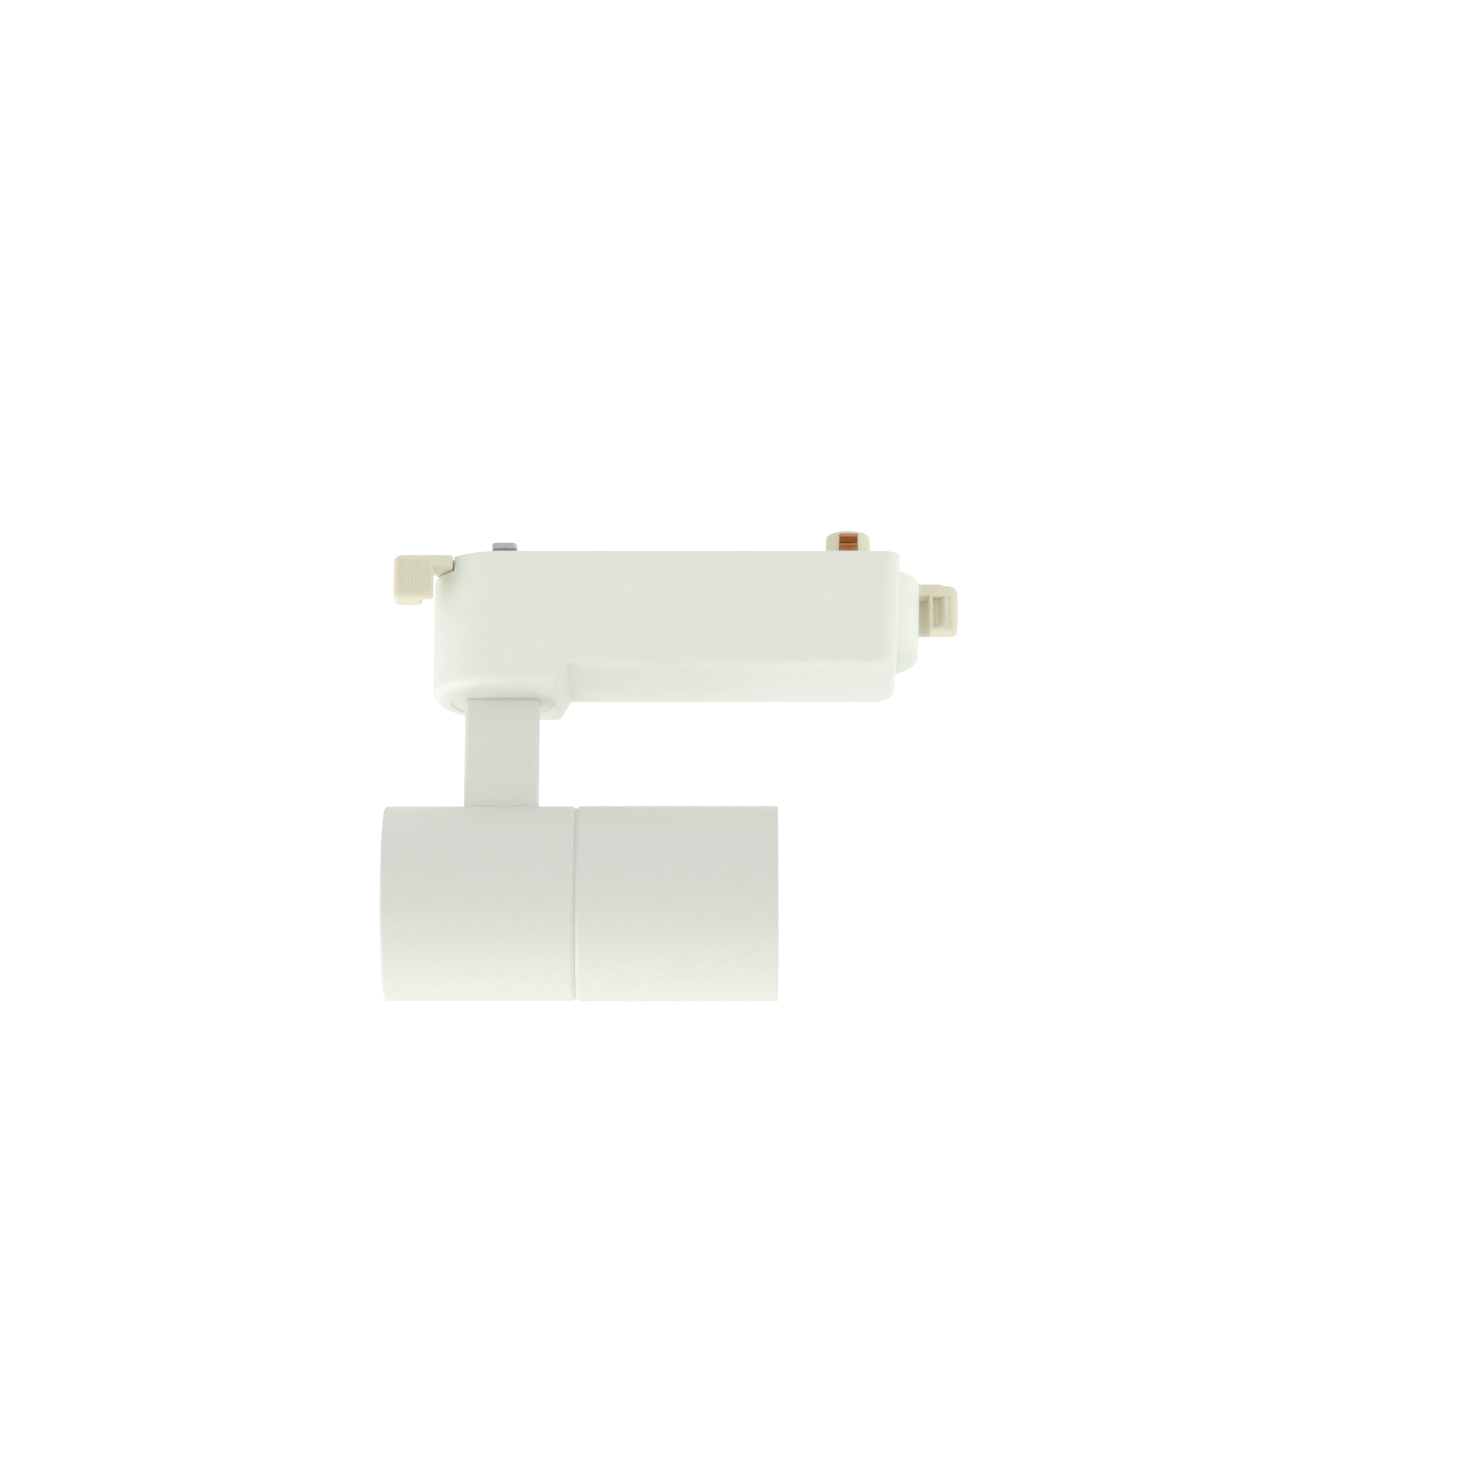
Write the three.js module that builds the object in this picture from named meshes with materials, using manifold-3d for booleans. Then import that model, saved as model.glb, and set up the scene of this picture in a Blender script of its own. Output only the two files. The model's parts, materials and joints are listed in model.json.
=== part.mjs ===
// A track spotlight whose driver sits in the track adapter, above a small cylindrical head.
// Millimetres, +Z up. The origin is the middle of the face that seats against the track,
// and the light leaves the head along +X.
import * as THREE from 'three';
import { mergeVertices } from 'three/addons/utils/BufferGeometryUtils.js';
import Module from 'manifold-3d';

const wasm = await Module();
wasm.setup();

// Clearances
const seat = 0.1;                // between pieces that rest on each other
const play = 0.3;                // between pieces that turn past each other
const bite = 0.5;                // how far joined solids run into each other

// Adapter housing
const rotorOffset = 41.8;        // each rotor axis from the middle
const swivelOffset = 42.2;       // the swivel axis from the middle, under the round end
const boxHalfWidth = 17.3;       // also the radius of the round end
const boxDepth = 28.3;
const boxWall = 1.8;
const boxFloor = 2.2;
const endFlat = 12.4;            // the square end's wall, out from its rotor axis
const shelfFlat = 12;            // the round end's cut-off above the lever shelf, out from its axis
const endCorner = 4.5;           // upright corners of the square end
const sideFillet = 1;            // long bottom edges
const endFillet = 2.2;           // bottom edge of the square end
const endLean = 1.05;            // how far the square end leans in by its bottom edge
const leverStep = 3.8;           // how far both ends are cut down for the levers
const bulgeDepth = 23;           // underside of the round bulge on the square end
const bulgeFillet = 1.8;
const bulgeLean = 0.3;
const bossDepth = 33.3;          // underside of the boss that carries the swivel
const bossFillet = 2.7;
const bossEdge = 15.9;           // the boss's straight edge, from the round end's own axis
const bossSlope = 0.56;          // how far that edge leans in for each millimetre down
const bossCorner = 1.4;
const bossEdgeFillet = 0.45;

// Lid and its screws
const lidDepth = 6;
const lidSkin = 2;
const lidRim = 1.6;
const lidDrop = 0.3;             // the lid's top lies this far under the seating face
const lidHollowHalf = 22.5;      // half length of the hollow under the lid
const lidRibPitch = 15;
const lidRibHalf = 0.6;          // half thickness of each rib
const padLow = -14;              // ends of the raised seating pad along X
const padHigh = 20;
const padHalfWidth = 8;
const postOffset = 27;           // screw posts either side of the middle
const postRadius = 3.2;
const lidScrewRadius = 1.2;
const lidScrewHead = 2.6;
const lidScrewLength = 13;
const driveHalf = 0.35;          // half width of the slots in a cross drive

// Locking levers and their rotors
const wedgeAngle = 43.4;         // half angle of each opening that a lever turns in
const armHighAngle = 42.2;       // the arm's two edges, from the lever's outward axis
const armLowAngle = 17.6;
const hubRadius = 8.8;
const barrelRadius = 6.5;
const barrelDepth = 12.2;
const grooveTop = 6.3;           // groove for the retaining clip, below the seating face
const grooveHeight = 1.2;
const grooveRadius = 5.7;
const clipRadius = 8.6;
const clipMouthHalf = 3.4;
const noseRadius = 5.6;
const contactNoseHeight = 9;
const lockNoseHeight = 2.9;
const gripFace = 15.7;           // the ribbed face, off the lever's outward axis
const gripInner = 16.9;          // the grip's near end along that axis, and each lever's far end
const contactGripEnd = 26.9;
const lockGripEnd = 26.5;
const contactGripDepth = 12.1;
const lockGripDepth = 11.4;
const gripThickness = 6.9;
const gripWall = 1.5;
const gripBlock = 3;             // length of the thin wall before the solid block starts
const gripEdge = 0.7;
const armLedge = 0.15;           // how far the arm's edge stands over the grip's back
const scoopWidth = 3.15;         // the upright thumb hollow in the grip's back
const scoopFloor = 1.55;         // width of its deepest part, beside its steep side
const scoopDepth = 2.1;
const scoopSag = 0.6;            // share of its depth reached half way down its sloping side
const scoopFoot = 3.2;           // height over which it rises to the back at its foot
const scoopRidge = 1.05;         // the solid left beside it
const scoopSill = 1;             // the solid left under it
const ribPitch = 0.95;
const ribWidth = 0.5;

// Track contacts and lock plate
const bladeThickness = 0.8;
const bladeWidth = 4.4;
const bladeReach = 10.2;
const bladeLevel = 6.3;
const bladeLeg = 4.6;            // upright leg, off the rotor axis
const leafThickness = 0.5;
const leafSet = 1.2;             // how far each leaf stands back from where it wipes
const leafFoot = 3.8;
const lockPlateHalf = 9.8;
const lockPlateWidth = 6;
const lockPlateThickness = 1.5;
const lockScrewRadius = 1.5;
const lockScrewHead = 2.7;
const lockScrewLength = 9;

// Driver
const boardThickness = 1.6;
const boardStandoff = 2.5;
const boardLow = -28;
const boardHigh = 50.5;
const boardMargin = 2.1;         // between the board's long edges and the walls
const standoffRadius = 2;
const boardGap = 3;              // between neighbours on the board
const transformerPlace = 2;      // its middle, from the adapter's middle
const transformerLength = 18;
const transformerWidth = 15;
const transformerHeight = 12.5;
const inputCanRadius = 5;
const inputCanHeight = 12;
const outputCanRadius = 4;
const outputCanHeight = 11;
const canNeck = 0.5;             // depth of the crimped groove
const filmLength = 12;
const filmWidth = 5.6;
const filmHeight = 9.5;
const chokeRadius = 4.5;
const chokeWaist = 3.9;
const chokeHeight = 8.5;
const chokeFlange = 1;
const fuseRadius = 1.7;
const fuseHalf = 4.5;            // half length
const fuseCap = 1.7;             // length of each end cap
const bridgeLength = 6.4;
const bridgeWidth = 5.2;
const bridgeHeight = 2.6;

// Swivel
const flangeRadius = 12.35;
const flangeGap = 0.15;          // all round the flange, inside the boss
const flangeThickness = 1.8;
const flangeSet = 0.45;          // the flange's face lies this far up inside the boss
const frictionRing = 0.6;
const spigotRadius = 5;
const spigotBore = 3;
const washerRadius = 9.5;
const washerThickness = 1;
const stopReach = 12;            // the stop tab's end, from the swivel axis
const stopTabHalf = 1.5;
const stopRibHalf = 1;
const stopRibInner = 10.2;       // the rib's inner face, from the swivel axis
const springHeight = 1;
const springSheet = 0.5;
const nutAcross = 14;
const nutHeight = 3.5;

// Stem
const stemWidth = 18;
const stemThickness = 7;
const stemEdge = 1;
const leadRadius = 1.35;
const leadBore = 1.75;
const pivotDepth = 83.55;        // tilt axis below the seating face
const leadWayFoot = 15;          // lower end of the lead's way through the bar, above that axis
const windowFoot = 10;           // the opening that lets the lead out, above that axis
const windowHead = 21.5;

// Head, measured along its own axis from the tilt axis
const rearRadius = 23.4;
const frontStep = 0.1;           // how far the front tube stands out past the rear housing
const rearEnd = 27.8;            // closed rear end, behind the tilt axis
const seamPlace = 18.3;
const frontEnd = 66.75;
const rearWall = 2.2;
const rearCap = 2.5;
const frontWall = 2;
const rearEdge = 0.8;
const seamChamfer = 0.95;        // both edges are cut back, which leaves a V-shaped groove
const seamGap = 0.1;
const mouthEdge = 0.5;

// Tilt bracket and its bolt
const bracketSheet = 1.5;
const cheekRadius = 6.5;
const bracketHalf = 11;
const bracketScrewOffset = 8.5;
const bracketScrewRadius = 1.3;
const bracketScrewHead = 2.3;
const bracketScrewLength = 6;
const boltRadius = 2.45;
const boltHeadRadius = 4.2;
const boltHeadHeight = 2.6;
const tiltNutAcross = 8;
const tiltNutHeight = 3.4;
const boltSocket = 3;            // across the flats of the key hole
const lockWasherRadius = 4.2;
const lockWasherThickness = 0.8;
const frictionWasherRadius = 6;

// Heat sink, light engine and optics
const sinkPlateFront = 24.3;
const sinkHub = 11.5;
const sinkRim = 1.8;
const finCount = 10;
const finThickness = 1;
const chipSide = 14;
const chipThickness = 1.2;
const phosphorRadius = 5.2;
const phosphorThickness = 0.4;
const holderRadius = 13;
const holderThickness = 3.6;
const holderScrewOffset = 10.3;
const holderScrewRadius = 1.1;
const holderScrewHead = 2.2;
const holderScrewLength = 5.4;
const holderFloor = 1.6;         // plastic left under each screw head
const reflectorLength = 25;
const reflectorThroat = 6.6;
const reflectorSkin = 0.9;
const reflectorRim = 1.2;
const lensThickness = 2;
const ringThickness = 1.8;
const ringWidth = 1.7;
const headLeadRadius = 1.1;
const leadHoleSide = -7;         // where that lead passes the heat sink, along Y
const leadHoleInset = 9.4;       // how far its height falls short of the rear housing's top

const degree = Math.PI / 180;
const roundSteps = 18;           // facets in half a turn of the large round ends
const tubeSides = 36;
const wheelSides = 24;           // hubs, flanges and washers
const boltSides = 12;            // screws, pins and their holes

// Levels below the seating face, or heights along the head, that several pieces share
const floorLevel = boxFloor - boxDepth;
const postSpread = boxHalfWidth - boxWall - postRadius + play;   // posts either side of the long axis
const boardHalfWidth = boxHalfWidth - boxWall - boardMargin;
const boardTop = floorLevel + boardStandoff + seat + boardThickness;
const armBottom = play - leverStep;
const flangeFace = flangeSet - bossDepth;
const flangeTop = flangeFace + flangeThickness;
const recessTop = flangeTop + seat + frictionRing + seat;
const washerBottom = floorLevel + seat;
const springBottom = washerBottom + washerThickness + seat;
const nutBottom = springBottom + springHeight + seat;
const spigotTop = nutBottom + nutHeight + 1;
const rearInner = rearRadius - rearWall;
const frontRadius = rearRadius + frontStep;
const frontInner = frontRadius - frontWall;
const bracketBack = stemWidth / 2 + 2 * play + seat;
const sinkBack = bracketBack + bracketSheet + seat;
const cheekInner = stemThickness / 2 + 2 * play;
const cheekOuter = cheekInner + bracketSheet;
const chipFront = sinkPlateFront + seat + chipThickness;
const holderSeat = sinkPlateFront + seat + holderFloor + seat;
const holderFront = sinkPlateFront + seat + holderThickness;
const reflectorBack = holderFront + seat;
const lensBack = reflectorBack + reflectorLength + seat;
const ringBack = lensBack + lensThickness + seat;
const leadHoleHeight = rearRadius - leadHoleInset;

// Finishes
const whitePlastic = { color: 0xe6e9e2, roughness: 0.42, metalness: 0 };
const whitePaint = { color: 0xdcdfd7, roughness: 0.5, metalness: 0.1 };
const ivoryPlastic = { color: 0xe6dfc6, roughness: 0.45, metalness: 0 };
const blackPlastic = { color: 0x26272a, roughness: 0.5, metalness: 0 };
const nylon = { color: 0xd9d6c8, roughness: 0.55, metalness: 0 };
const zincSteel = { color: 0xb4b6b8, roughness: 0.35, metalness: 1 };
const copper = { color: 0xc08a58, roughness: 0.3, metalness: 1 };
const bareAluminium = { color: 0xbfc2c4, roughness: 0.4, metalness: 1 };
const brightAluminium = { color: 0xe4e6e8, roughness: 0.12, metalness: 1 };
const boardLaminate = { color: 0x2f6b45, roughness: 0.55, metalness: 0 };
const ferrite = { color: 0x3a3b3e, roughness: 0.7, metalness: 0 };
const canSleeve = { color: 0x2b3350, roughness: 0.4, metalness: 0 };
const filmCase = { color: 0xb9a13a, roughness: 0.45, metalness: 0 };
const ceramic = { color: 0xe9e9e4, roughness: 0.5, metalness: 0 };
const phosphor = { color: 0xf0c93a, roughness: 0.6, metalness: 0 };
const clearPlastic = { color: 0xf4f7f7, roughness: 0.08, metalness: 0 };
const leadSleeve = { color: 0xd8d8d4, roughness: 0.5, metalness: 0 };

// A closed mesh as a solid that can be joined and cut
function solid(geometry) {
  const bare = geometry.clone();
  bare.deleteAttribute('normal');
  bare.deleteAttribute('uv');
  const merged = mergeVertices(bare, 1e-4);
  const triangles = [];
  for (let i = 0; i < merged.index.count; i += 3) {
    const [a, b, c] = [0, 1, 2].map((corner) => merged.index.getX(i + corner));
    if (a !== b && b !== c && c !== a) triangles.push(a, b, c);
  }
  return new wasm.Manifold(new wasm.Mesh({
    numProp: 3,
    vertProperties: merged.attributes.position.array,
    triVerts: new Uint32Array(triangles),
  }));
}

function join(...bodies) {
  return bodies.reduce((whole, body) => whole.add(body));
}

function cut(body, ...tools) {
  return tools.reduce((rest, tool) => rest.subtract(tool), body);
}

// A named mesh with a material of its own, from a solid
function piece(name, body, finish) {
  const { vertProperties, triVerts } = body.getMesh();
  const geometry = new THREE.BufferGeometry();
  geometry.setAttribute('position', new THREE.BufferAttribute(vertProperties, 3));
  geometry.setIndex(new THREE.BufferAttribute(triVerts, 1));
  geometry.computeVertexNormals();
  const mesh = new THREE.Mesh(geometry, new THREE.MeshStandardMaterial(finish));
  mesh.name = name;
  return mesh;
}

function arc(x, y, radius, from, to, steps) {
  const points = [];
  for (let i = 0; i <= steps; i++) {
    const angle = from + (to - from) * i / steps;
    points.push(new THREE.Vector2(x + radius * Math.cos(angle), y + radius * Math.sin(angle)));
  }
  return points;
}

// A solid through outlines of equal point counts, given from the lowest level up
function loft(levels) {
  const count = levels[0].outline.length;
  const position = levels.flatMap(({ outline, z }) => outline.flatMap(({ x, y }) => [x, y, z]));
  const index = [];
  for (let level = 0; level + 1 < levels.length; level++) {
    for (let i = 0; i < count; i++) {
      const a = level * count + i;
      const b = level * count + (i + 1) % count;
      index.push(a, b, b + count, a, b + count, a + count);
    }
  }
  const top = (levels.length - 1) * count;
  for (const [a, b, c] of THREE.ShapeUtils.triangulateShape(levels[0].outline, [])) {
    index.push(c, b, a, top + a, top + b, top + c);
  }
  const geometry = new THREE.BufferGeometry();
  geometry.setAttribute('position', new THREE.Float32BufferAttribute(position, 3));
  geometry.setIndex(index);
  return solid(geometry);
}

function prism(outline, low, high) {
  return loft([{ outline, z: low }, { outline, z: high }]);
}

function block(x0, x1, y0, y1, low, high) {
  const box = new THREE.BoxGeometry(x1 - x0, y1 - y0, high - low);
  return solid(box.translate((x0 + x1) / 2, (y0 + y1) / 2, (low + high) / 2));
}

// An upright cylinder, or a cone where the two radii differ
function rod(radius, low, high, { x = 0, y = 0, topRadius = radius, sides = boltSides } = {}) {
  const cylinder = new THREE.CylinderGeometry(topRadius, radius, high - low, sides);
  return solid(cylinder.rotateX(Math.PI / 2).translate(x, y, (low + high) / 2));
}

function tube(outer, inner, low, high, sides = wheelSides) {
  return cut(rod(outer, low, high, { sides }), rod(inner, low - bite, high + bite, { sides }));
}

function hexagon(across, low, high) {
  return rod(across / 2 / Math.cos(30 * degree), low, high, { sides: 6 });
}

// A profile of [radius, height] turned about Z
function turned(profile, sides = wheelSides) {
  const points = profile.map(([radius, height]) => new THREE.Vector2(radius, height));
  return solid(new THREE.LatheGeometry(points, sides).rotateX(Math.PI / 2));
}

// The same body with its Z axis laid along +X, as the head's pieces lie
const alongX = new THREE.Matrix4().makeBasis(
  new THREE.Vector3(0, 0, -1), new THREE.Vector3(0, 1, 0), new THREE.Vector3(1, 0, 0));
// Z laid along +Y, as the tilt bolt and its washers lie
const alongY = new THREE.Matrix4().makeBasis(
  new THREE.Vector3(1, 0, 0), new THREE.Vector3(0, 0, -1), new THREE.Vector3(0, 1, 0));
// A flat outline in X and Y stood up in X and Z, or in Y and Z
const uprightXZ = new THREE.Matrix4().makeBasis(
  new THREE.Vector3(1, 0, 0), new THREE.Vector3(0, 0, 1), new THREE.Vector3(0, -1, 0));
const uprightYZ = new THREE.Matrix4().makeBasis(
  new THREE.Vector3(0, 1, 0), new THREE.Vector3(0, 0, 1), new THREE.Vector3(1, 0, 0));

function laid(body, matrix) {
  return body.transform(matrix.toArray());
}

// A slab with rounded edges, its outline in X and Y
function roundedSlab(outline, low, high, edge) {
  const geometry = new THREE.ExtrudeGeometry(new THREE.Shape(outline), {
    depth: high - low - 2 * edge,
    bevelThickness: edge,
    bevelSize: edge,
    bevelOffset: -edge,
    bevelSegments: 2,
  });
  return solid(geometry.translate(0, 0, low + edge));
}

// A bent strip of sheet: its middle line in Y and Z, its width centred along X
function strip(line, thickness, width) {
  const middle = line.map(([y, z]) => new THREE.Vector2(y, z));
  const side = (sign) => middle.map((point, i) => {
    const before = middle[Math.max(i - 1, 0)];
    const after = middle[Math.min(i + 1, middle.length - 1)];
    const arriving = point.clone().sub(before).normalize();
    const leaving = after.clone().sub(point).normalize();
    const along = arriving.add(leaving).normalize();
    const leg = i === 0 ? leaving : point.clone().sub(before).normalize();
    const reach = thickness / 2 / along.dot(leg);
    return new THREE.Vector2(point.x - sign * along.y * reach, point.y + sign * along.x * reach);
  });
  const outline = [...side(-1), ...side(1).reverse()];
  return laid(prism(outline, -width / 2, width / 2), uprightYZ);
}

// A round lead along a smooth route
function lead(route, radius) {
  const path = new THREE.CatmullRomCurve3(route.map((point) => new THREE.Vector3(...point)));
  const section = new THREE.Shape(arc(0, 0, radius, 0, 360 * degree * 7 / 8, 7));
  return solid(new THREE.ExtrudeGeometry(section, { steps: 3 * route.length, extrudePath: path }));
}

// How far a rounded edge draws in at a height above it
function drawIn(height, radius) {
  return height >= radius ? 0 : radius - Math.sqrt(radius ** 2 - (radius - height) ** 2);
}

// Heights up a rounded bottom edge, closest together at the bottom
function filletHeights(radius) {
  return [0, 30, 60, 90].map((angle) => radius * (1 - Math.cos(angle * degree)));
}

// ---- Adapter housing

function boxOutline(inset, endInset = inset) {
  const radius = boxHalfWidth - inset;
  const corner = endCorner - inset;
  const flat = rotorOffset + endFlat - endInset;
  return [
    ...arc(-rotorOffset, 0, radius, 90 * degree, 270 * degree, roundSteps),
    ...arc(flat - corner, corner - radius, corner, -90 * degree, 0, 5),
    ...arc(flat - corner, radius - corner, corner, 0, 90 * degree, 5),
  ];
}

function boxBody() {
  const levels = filletHeights(endFillet).map((height) => ({
    outline: boxOutline(drawIn(height, sideFillet),
      drawIn(height, endFillet) + endLean * (1 - height / boxDepth)),
    z: height - boxDepth,
  }));
  return loft([...levels, { outline: boxOutline(0), z: 0 }]);
}

// The boss under the round end: round on one side, with a leaning straight edge on the other
function swivelBoss() {
  const outline = (height) => {
    const radius = boxHalfWidth - drawIn(height, bossFillet);
    const below = Math.max(bossDepth - boxDepth - height, 0);
    const edge = bossEdge - rotorOffset - bossSlope * below - drawIn(height, bossEdgeFillet);
    return [
      ...arc(-rotorOffset, 0, radius, 90 * degree, 270 * degree, roundSteps),
      ...arc(edge - bossCorner, bossCorner - radius, bossCorner, -90 * degree, 0, 4),
      ...arc(edge - bossCorner, radius - bossCorner, bossCorner, 0, 90 * degree, 4),
    ];
  };
  const heights = [...filletHeights(bossFillet), bossDepth - boxDepth, bossDepth + floorLevel];
  return loft(heights.map((height) => ({ outline: outline(height), z: height - bossDepth })));
}

function endBulge() {
  const outline = (inset) =>
    arc(rotorOffset, 0, boxHalfWidth - inset, 0, 350 * degree, 35);
  const levels = filletHeights(bulgeFillet).map((height) => ({
    outline: outline(drawIn(height, bulgeFillet) + bulgeLean * (1 - height / bulgeDepth)),
    z: height - bulgeDepth,
  }));
  return loft([...levels, { outline: outline(0), z: -leverStep }]);
}

// The two openings that the levers turn in, cut through the end walls
function leverWedges() {
  const reach = endFlat + bite;
  const half = reach * Math.tan(wedgeAngle * degree);
  return [-1, 1].map((side) => prism([
    new THREE.Vector2(side * rotorOffset, 0),
    new THREE.Vector2(side * (rotorOffset + reach), -side * half),
    new THREE.Vector2(side * (rotorOffset + reach), side * half),
  ], -leverStep, bite));
}

function leverShelfCut() {
  const flat = -rotorOffset - shelfFlat;
  return block(flat - boxHalfWidth, flat, -boxHalfWidth - 1, boxHalfWidth + 1, -leverStep, bite);
}

function postPlaces() {
  return [[-1, -1], [-1, 1], [1, -1], [1, 1]]
    .map(([side, edge]) => ({ x: side * postOffset, y: edge * postSpread }));
}

function adapterHousing() {
  const outside = join(boxBody(), swivelBoss(), endBulge());
  const cavity = prism(boxOutline(boxWall, boxWall + endLean), floorLevel, 1);
  const bulgeCavity = rod(boxHalfWidth - boxWall, boxFloor - bulgeDepth, -lidDepth,
    { x: rotorOffset, sides: tubeSides });
  const posts = postPlaces().map((place) =>
    rod(postRadius, floorLevel - bite, -lidDepth - seat, place));
  const standoffs = [-1, 1].flatMap((side) => [-1, 1].map((edge) =>
    rod(standoffRadius, floorLevel - bite, floorLevel + boardStandoff,
      { x: side * postOffset * 0.6, y: edge * boardHalfWidth * 0.7, sides: 8 })));
  const stopRib = block(-swivelOffset - stopReach, -swivelOffset - stopRibInner,
    -stopRibHalf, stopRibHalf, floorLevel - bite, springBottom + springHeight);
  const shell = join(cut(outside, cavity, bulgeCavity), ...posts, ...standoffs, stopRib);
  const pilots = postPlaces().map((place) =>
    rod(lidScrewRadius + seat, -lidDrop - lidScrewLength - 2 * lidScrewRadius, 0, place));
  return cut(shell, ...pilots, ...leverWedges(), leverShelfCut(),
    rod(spigotRadius + play, -bossDepth, 0, { x: -swivelOffset, sides: wheelSides }),
    rod(flangeRadius + flangeGap, -bossDepth - 1, recessTop, { x: -swivelOffset, sides: tubeSides }));
}

// ---- Lid

function adapterLid() {
  const slab = prism(boxOutline(boxWall + seat, boxWall + endLean + seat), -lidDepth, -lidDrop);
  const pad = block(padLow, padHigh, -padHalfWidth, padHalfWidth, -lidDrop - bite, 0);
  const innerHalf = boxHalfWidth - boxWall - seat - lidRim;
  const hollow = block(-lidHollowHalf, lidHollowHalf, -innerHalf, innerHalf,
    -lidDepth - 1, -lidDrop - lidSkin);
  const ribs = [-1, 0, 1].map((step) => step * lidRibPitch).map((x) =>
    block(x - lidRibHalf, x + lidRibHalf, -innerHalf - bite, innerHalf + bite,
      -lidDepth, -lidDrop - lidSkin + bite));
  const pockets = [-1, 1].flatMap((side) => [
    rod(hubRadius + play + seat, -leverStep, bite, { x: side * rotorOffset, sides: wheelSides }),
    rod(barrelRadius + play, -lidDepth - 1, bite, { x: side * rotorOffset, sides: wheelSides }),
  ]);
  const screwHoles = postPlaces().flatMap((place) => [
    rod(lidScrewRadius + play, -lidDepth - 1, 0, { ...place, sides: 8 }),
    countersink(-lidDrop, lidScrewRadius + play, lidScrewHead + play).translate([place.x, place.y, 0]),
  ]);
  return cut(join(cut(slab, hollow), ...ribs, pad),
    ...pockets, ...leverWedges(), leverShelfCut(), ...screwHoles);
}

// The cutter for a countersunk head's seat, run on past the surface that it opens in
function countersink(top, radius, head) {
  return rod(radius, top - head + radius, top + bite, { topRadius: head + bite, sides: 8 });
}

// A countersunk screw standing on its point, its head's top at the given level
function countersunkScrew(top, radius, head, length) {
  const cone = head - radius;
  const shank = rod(radius, top - length, top - cone, { sides: 8 });
  const point = rod(radius * 0.3, top - length - radius, top - length, { topRadius: radius, sides: 8 });
  const flare = rod(radius, top - cone, top, { topRadius: head, sides: 8 });
  const drive = [0, 90].map((angle) => {
    const slot = block(-head * 0.55, head * 0.55, -driveHalf, driveHalf, top - cone * 0.7, top + 1);
    return laid(slot, new THREE.Matrix4().makeRotationZ(angle * degree));
  });
  return cut(join(shank, point, flare), ...drive);
}

// ---- Levers: the outward axis of each is +X here, and its ribbed face looks along +Y

function polar(radius, angle) {
  return new THREE.Vector2(radius * Math.cos(angle * degree), radius * Math.sin(angle * degree));
}

function armOutline(gripEnd) {
  const shoulder = endFlat + play;
  const neck = (boxHalfWidth - 1) / Math.cos(1 * degree);
  const back = gripFace - gripThickness;
  return [
    new THREE.Vector2(0, 0),
    polar(neck, armLowAngle),
    new THREE.Vector2(gripInner + 1, back - armLedge),
    new THREE.Vector2(gripEnd - 2.6, back - armLedge),
    new THREE.Vector2(gripEnd - 1.6, back + 0.9),
    new THREE.Vector2(gripEnd - 1.6, gripFace - 1),
    new THREE.Vector2(gripInner, gripFace - 0.2),
    new THREE.Vector2(shoulder, gripFace - 0.8),
    new THREE.Vector2(shoulder, shoulder * Math.tan(armHighAngle * degree)),
  ];
}

function gripOutline(gripEnd) {
  const blockStart = gripInner + gripBlock;
  const back = gripFace - gripThickness;
  return [
    new THREE.Vector2(gripInner, gripFace - gripWall),
    new THREE.Vector2(blockStart - 0.8, gripFace - gripWall),
    new THREE.Vector2(blockStart, gripFace - gripWall - 0.8),
    new THREE.Vector2(blockStart, back),
    new THREE.Vector2(gripEnd - 1.6, back),
    ...arc(gripEnd - 1.6, back + 1.6, 1.6, -60 * degree, 0, 3),
    ...arc(gripEnd - 1.2, gripFace - 1.2, 1.2, 0, 90 * degree, 3),
    new THREE.Vector2(gripInner, gripFace),
  ];
}

// Upright finger ribs along the outer face and round the far corner
function gripRibs(gripEnd, gripDepth) {
  const low = gripEdge - gripDepth;
  const high = -play - gripEdge;
  const outer = [];
  for (let place = gripInner + ribPitch; place < gripEnd - ribPitch; place += ribPitch) {
    outer.push({ x: place, y: gripFace });
  }
  const corner = gripFace - gripThickness;
  const inner = [1, 2, 3].map((step) => ({ x: gripEnd, y: corner + 0.6 + step * ribPitch }));
  return [...outer, ...inner].map((place) =>
    rod(ribWidth / 2, low, high, { ...place, sides: 4 }));
}

// The cutter for the thumb hollow: steep on the hub's side, sloping on the other and at its foot
function gripScoop(gripDepth) {
  const left = gripInner + gripBlock + scoopRidge;
  const back = gripFace - gripThickness;
  const low = scoopSill - gripDepth;
  const outline = (share) => [
    new THREE.Vector2(left, back - 1),
    new THREE.Vector2(left + scoopWidth, back - 1),
    new THREE.Vector2(left + scoopWidth, back),
    new THREE.Vector2(left + (scoopWidth + scoopFloor * share) / 2, back + scoopSag * scoopDepth * share),
    new THREE.Vector2(left + scoopFloor * share, back + scoopDepth * share),
    new THREE.Vector2(left, back + scoopDepth * share),
  ];
  const rise = [5, 30, 60, 90].map((angle) => ({
    outline: outline(Math.sin(angle * degree)),
    z: low + scoopFoot * (1 - Math.cos(angle * degree)),
  }));
  return loft([...rise, { outline: outline(1), z: armBottom }]);
}

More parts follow.
